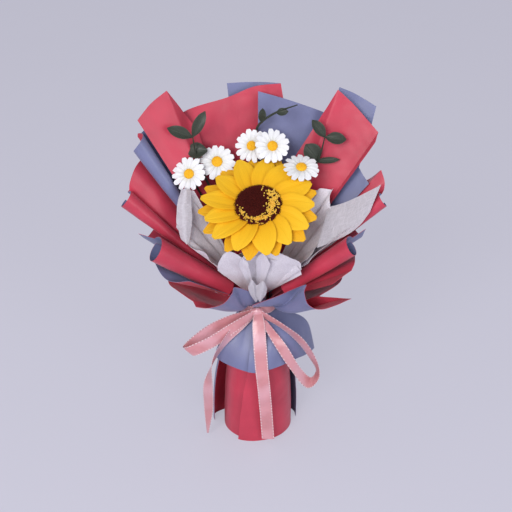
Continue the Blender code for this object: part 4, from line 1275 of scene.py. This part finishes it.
# %% Bow
BAND_INNER = paper_radius(OUTER_LAYER) + 0.5 * MM
BAND_FRONT = BAND_INNER + 1.0 * MM
RIBBON_LEVEL = (BAND_TOP + BAND_BOTTOM) / 2
RIBBON_RUNS = {
    "left_loop": [
        ((-2, -2, -6), (0, 0, 4)), ((-26, -6, -13), (-2, 0, 5)), ((-47, -9, -24), (-3, 0, 5.5)),
        ((-66, -10, -42), (-4.5, 0, 5)), ((-66, -15, -44), (-4.5, 0, 5)),
        ((-44, -17, -31), (-3, 0, 5.5)),
        ((-24, -13, -18), (-2.5, 0, 5)), ((-3, -4, -7), (0, 0, 4))],
    "right_loop": [
        ((1, -2, -6), (0, 0, 4)), ((24, -15, -14), (2, -4, 4)), ((43, -15, -32), (3, -4, 4)),
        ((57, -10, -59), (3, -5, 2)), ((61, -8, -77), (1, -6, -1)), ((52, -12, -84), (-2, -5, -3)),
        ((37, -19, -60), (-5, -3, 1)), ((22, -20, -32), (-6, -1, 1)), ((5, -7, -11), (-4, 0, 2))],
    "left_tail": [
        ((-2, -3, -7), (0, 0, 4)), ((-18, -10, -18), (-3, 0, 4)), ((-32, -18, -32), (-3, -4, 3)),
        ((-42, -20, -50), (-2, -5.5, 1)), ((-49, -16, -83), (4.5, -4.5, 0)),
        ((-50, -12, -114), (5, -3.8, 0)),
        ((-52, -9, -152), (1, -1, 1))],
    "centre_tail": [
        ((1, -4, -5), (4, 0, 0)), ((1.5, -12, -14), (6, 0, 0)), ((2.5, -20, -29), (6.35, 0, 0)),
        ((4.5, -27, -56), (6.35, 0, 0)), ((6.5, -29, -76), (6.35, 0, 0)),
        ((9, -26, -110), (6.35, 0, 0)),
        ((11.5, -22, -149), (6.35, 0, 0))],
}


def ribbon_mesh(stations, columns=8, crown=0.35 * MM):
    """A strip along its stations, each a middle and a half width in mm from the band's front."""
    front = np.array(neck) + np.array([0, -BAND_FRONT, 0])
    middle = smooth_row([s[0] for s in stations], (), 12) * MM + front
    half = smooth_row([s[1] for s in stations], (), 12) * MM
    ahead = np.gradient(middle, axis=0)
    normal = np.cross(ahead, half)
    normal /= np.maximum(np.linalg.norm(normal, axis=1, keepdims=True), 1e-12)
    rows = [middle + half * u + normal * crown * (1 - u * u) for u in np.linspace(-1, 1,
                                                                                  columns + 1)]
    return surface("ribbon", rows)


def knot_mesh():
    """The knot: a rounded lump with creases that run over it from top to bottom."""
    rings = []
    for polar in np.linspace(0.04, math.pi - 0.04, 19):
        ring = []
        for a in np.linspace(0, 2 * math.pi, 41):
            x = math.cos(a) * math.sin(polar)
            y = math.sin(a) * math.sin(polar)
            crease = 1 - 0.07 * math.cos(9 * x + 1.5 * math.cos(polar) * 1.3) ** 2
            size = Vector((7.4, 3.9, 5.4)) * MM * crease
            ring.append(Vector((x * size.x, y * size.y, math.cos(polar) * size.z)))
        rings.append(ring)
    mesh = surface("knot", rings)
    mesh.transform(Matrix.Translation(neck + Vector((0, -BAND_FRONT - 2.2 * MM, RIBBON_LEVEL))))
    return mesh


def band_mesh():
    """The flat turn of ribbon round the neck."""
    rows = [[neck + Vector(neck_point(BAND_FRONT - 0.4 * MM, t, RIBBON_LEVEL + z * MM))
             for t in np.linspace(0, 360, 97)]
            for z in np.linspace(-4.8, 4.8, 5)]
    return surface("band", rows)


def ribbon_piece(name, mesh):
    piece = thickened(show(name, mesh, satin), 0.3 * MM)
    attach(piece, "root")
    return piece


strips = {name: ribbon_piece("ribbon_" + name, ribbon_mesh(run)) for name,
          run in RIBBON_RUNS.items()}
band = ribbon_piece("ribbon_band", band_mesh())
knot = ribbon_piece("ribbon_knot", knot_mesh())
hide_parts("ribbon_bow")
print("ribbon strips:", ", ".join(strips))

# %% [markdown]
# ## What the ribbon was cut to
# Every strip comes from the same reel, so its flat width is half an inch and only the length
# differs. The length is measured along the middle line, so it stays right if a loop is moved.
# The loops and the band are gathered where they are tied; the tails hang free.


def run_length(run):
    """The length of a strip's middle line in metres."""
    steps = np.diff(smooth_row([station[0] for station in run], (), 12), axis=0)
    return float(np.linalg.norm(steps, axis=1).sum()) * MM


for name, strip in strips.items():
    length = run_length(RIBBON_RUNS[name])
    print(name, "is cut", round(length / MM), "mm long")

# %% [markdown]
# ## Solids that stay
# The stems, the calyx under the sunflower and the tape round the bundle already have their
# real shape as solids, and little of them shows. They keep their meshes and only get a
# finish.

# %% Finish the stems
for name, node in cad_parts.items():
    if name.endswith("_stem") or name in ("sunflower_calyx", "stem_tape"):
        node.data.materials.clear()
        node.data.materials.append(tape_green if name == "stem_tape" else stem_green)
        node.data.shade_smooth()
        node.data.set_sharp_from_angle(angle=math.radians(40))
print("stems finished")

# %% [markdown]
# ## Floor and light
# The bouquet stands on a plain pale surface in soft light that comes from all sides. A
# lavender-grey floor and an even world give that. One large lamp in front on the left gives
# the light its gentle direction, and a weaker one in front on the right fills in. Light Path
# tells the floor and the world when the camera sees them directly, so their colour can be
# pale without adding light to the bouquet.

# %% Floor, world and lamps
FLOOR_COLOUR = (0.64, 0.632, 0.735)
FLOOR_GLOW = 0.6
WORLD_SEEN = (0.60, 0.60, 0.70)
WORLD_LIGHT = (0.45, 0.45, 0.50)
LAMP_SIZE = 0.9


def make_floor():
    finish, tree, shader = new_finish("pale_floor", 0.9, {"Specular IOR Level": 0.1})
    place = add_node(tree, "TexCoord").outputs["Object"]
    cloud = noise_pattern(tree, place, 3, 2)
    tree.links.new(blended(tree, cloud, darker(FLOOR_COLOUR, 0.98), darker(FLOOR_COLOUR, 1.02)),
                   shader.inputs["Base Color"])
    seen = add_node(tree, "LightPath").outputs["Is Camera Ray"]
    glow = add_node(tree, "Emission", {"Color": (*FLOOR_COLOUR, 1), "Strength": 1.0}).outputs[0]
    share = add_node(tree, "Math", {0: seen, 1: FLOOR_GLOW}, operation="MULTIPLY").outputs[0]
    mixed = add_node(tree, "MixShader", {0: share, 1: shader.outputs[0], 2: glow}).outputs[0]
    tree.links.new(mixed, tree.nodes["Material Output"].inputs["Surface"])
    mesh = bpy.data.meshes.new("floor")
    mesh.from_pydata([(-8, -4, 0), (8, -4, 0), (8, 12, 0), (-8, 12, 0)], [], [(0, 1, 2, 3)])
    show("floor", mesh, finish)


def make_world(seen, lit):
    world = bpy.data.worlds.new("tent")
    bpy.context.scene.world = world
    world.use_nodes = True
    tree = world.node_tree
    light_path = add_node(tree, "LightPath")
    colour = blended(tree, light_path.outputs["Is Camera Ray"], lit, seen)
    tree.links.new(colour, tree.nodes["Background"].inputs["Color"])
    tree.nodes["Background"].inputs["Strength"].default_value = 1.0


def soft_lamp(name, place, power, colour):
    light = bpy.data.lights.new(name, "AREA")
    light.energy = power
    light.size = LAMP_SIZE
    light.color = colour
    lamp = bpy.data.objects.new(name, light)
    lamp.location = neck + Vector(place)
    lamp.rotation_euler = (-Vector(place)).to_track_quat("-Z", "Y").to_euler()
    bpy.context.scene.collection.objects.link(lamp)


make_floor()
make_world(WORLD_SEEN, WORLD_LIGHT)
soft_lamp("key", (-0.7, -1.6, 0.9), 24, (1.0, 0.98, 0.97))
soft_lamp("fill", (1.1, -1.5, 0.5), 10, (0.97, 0.98, 1.0))
bpy.context.scene.view_settings.view_transform = "Standard"
print("stage ready")
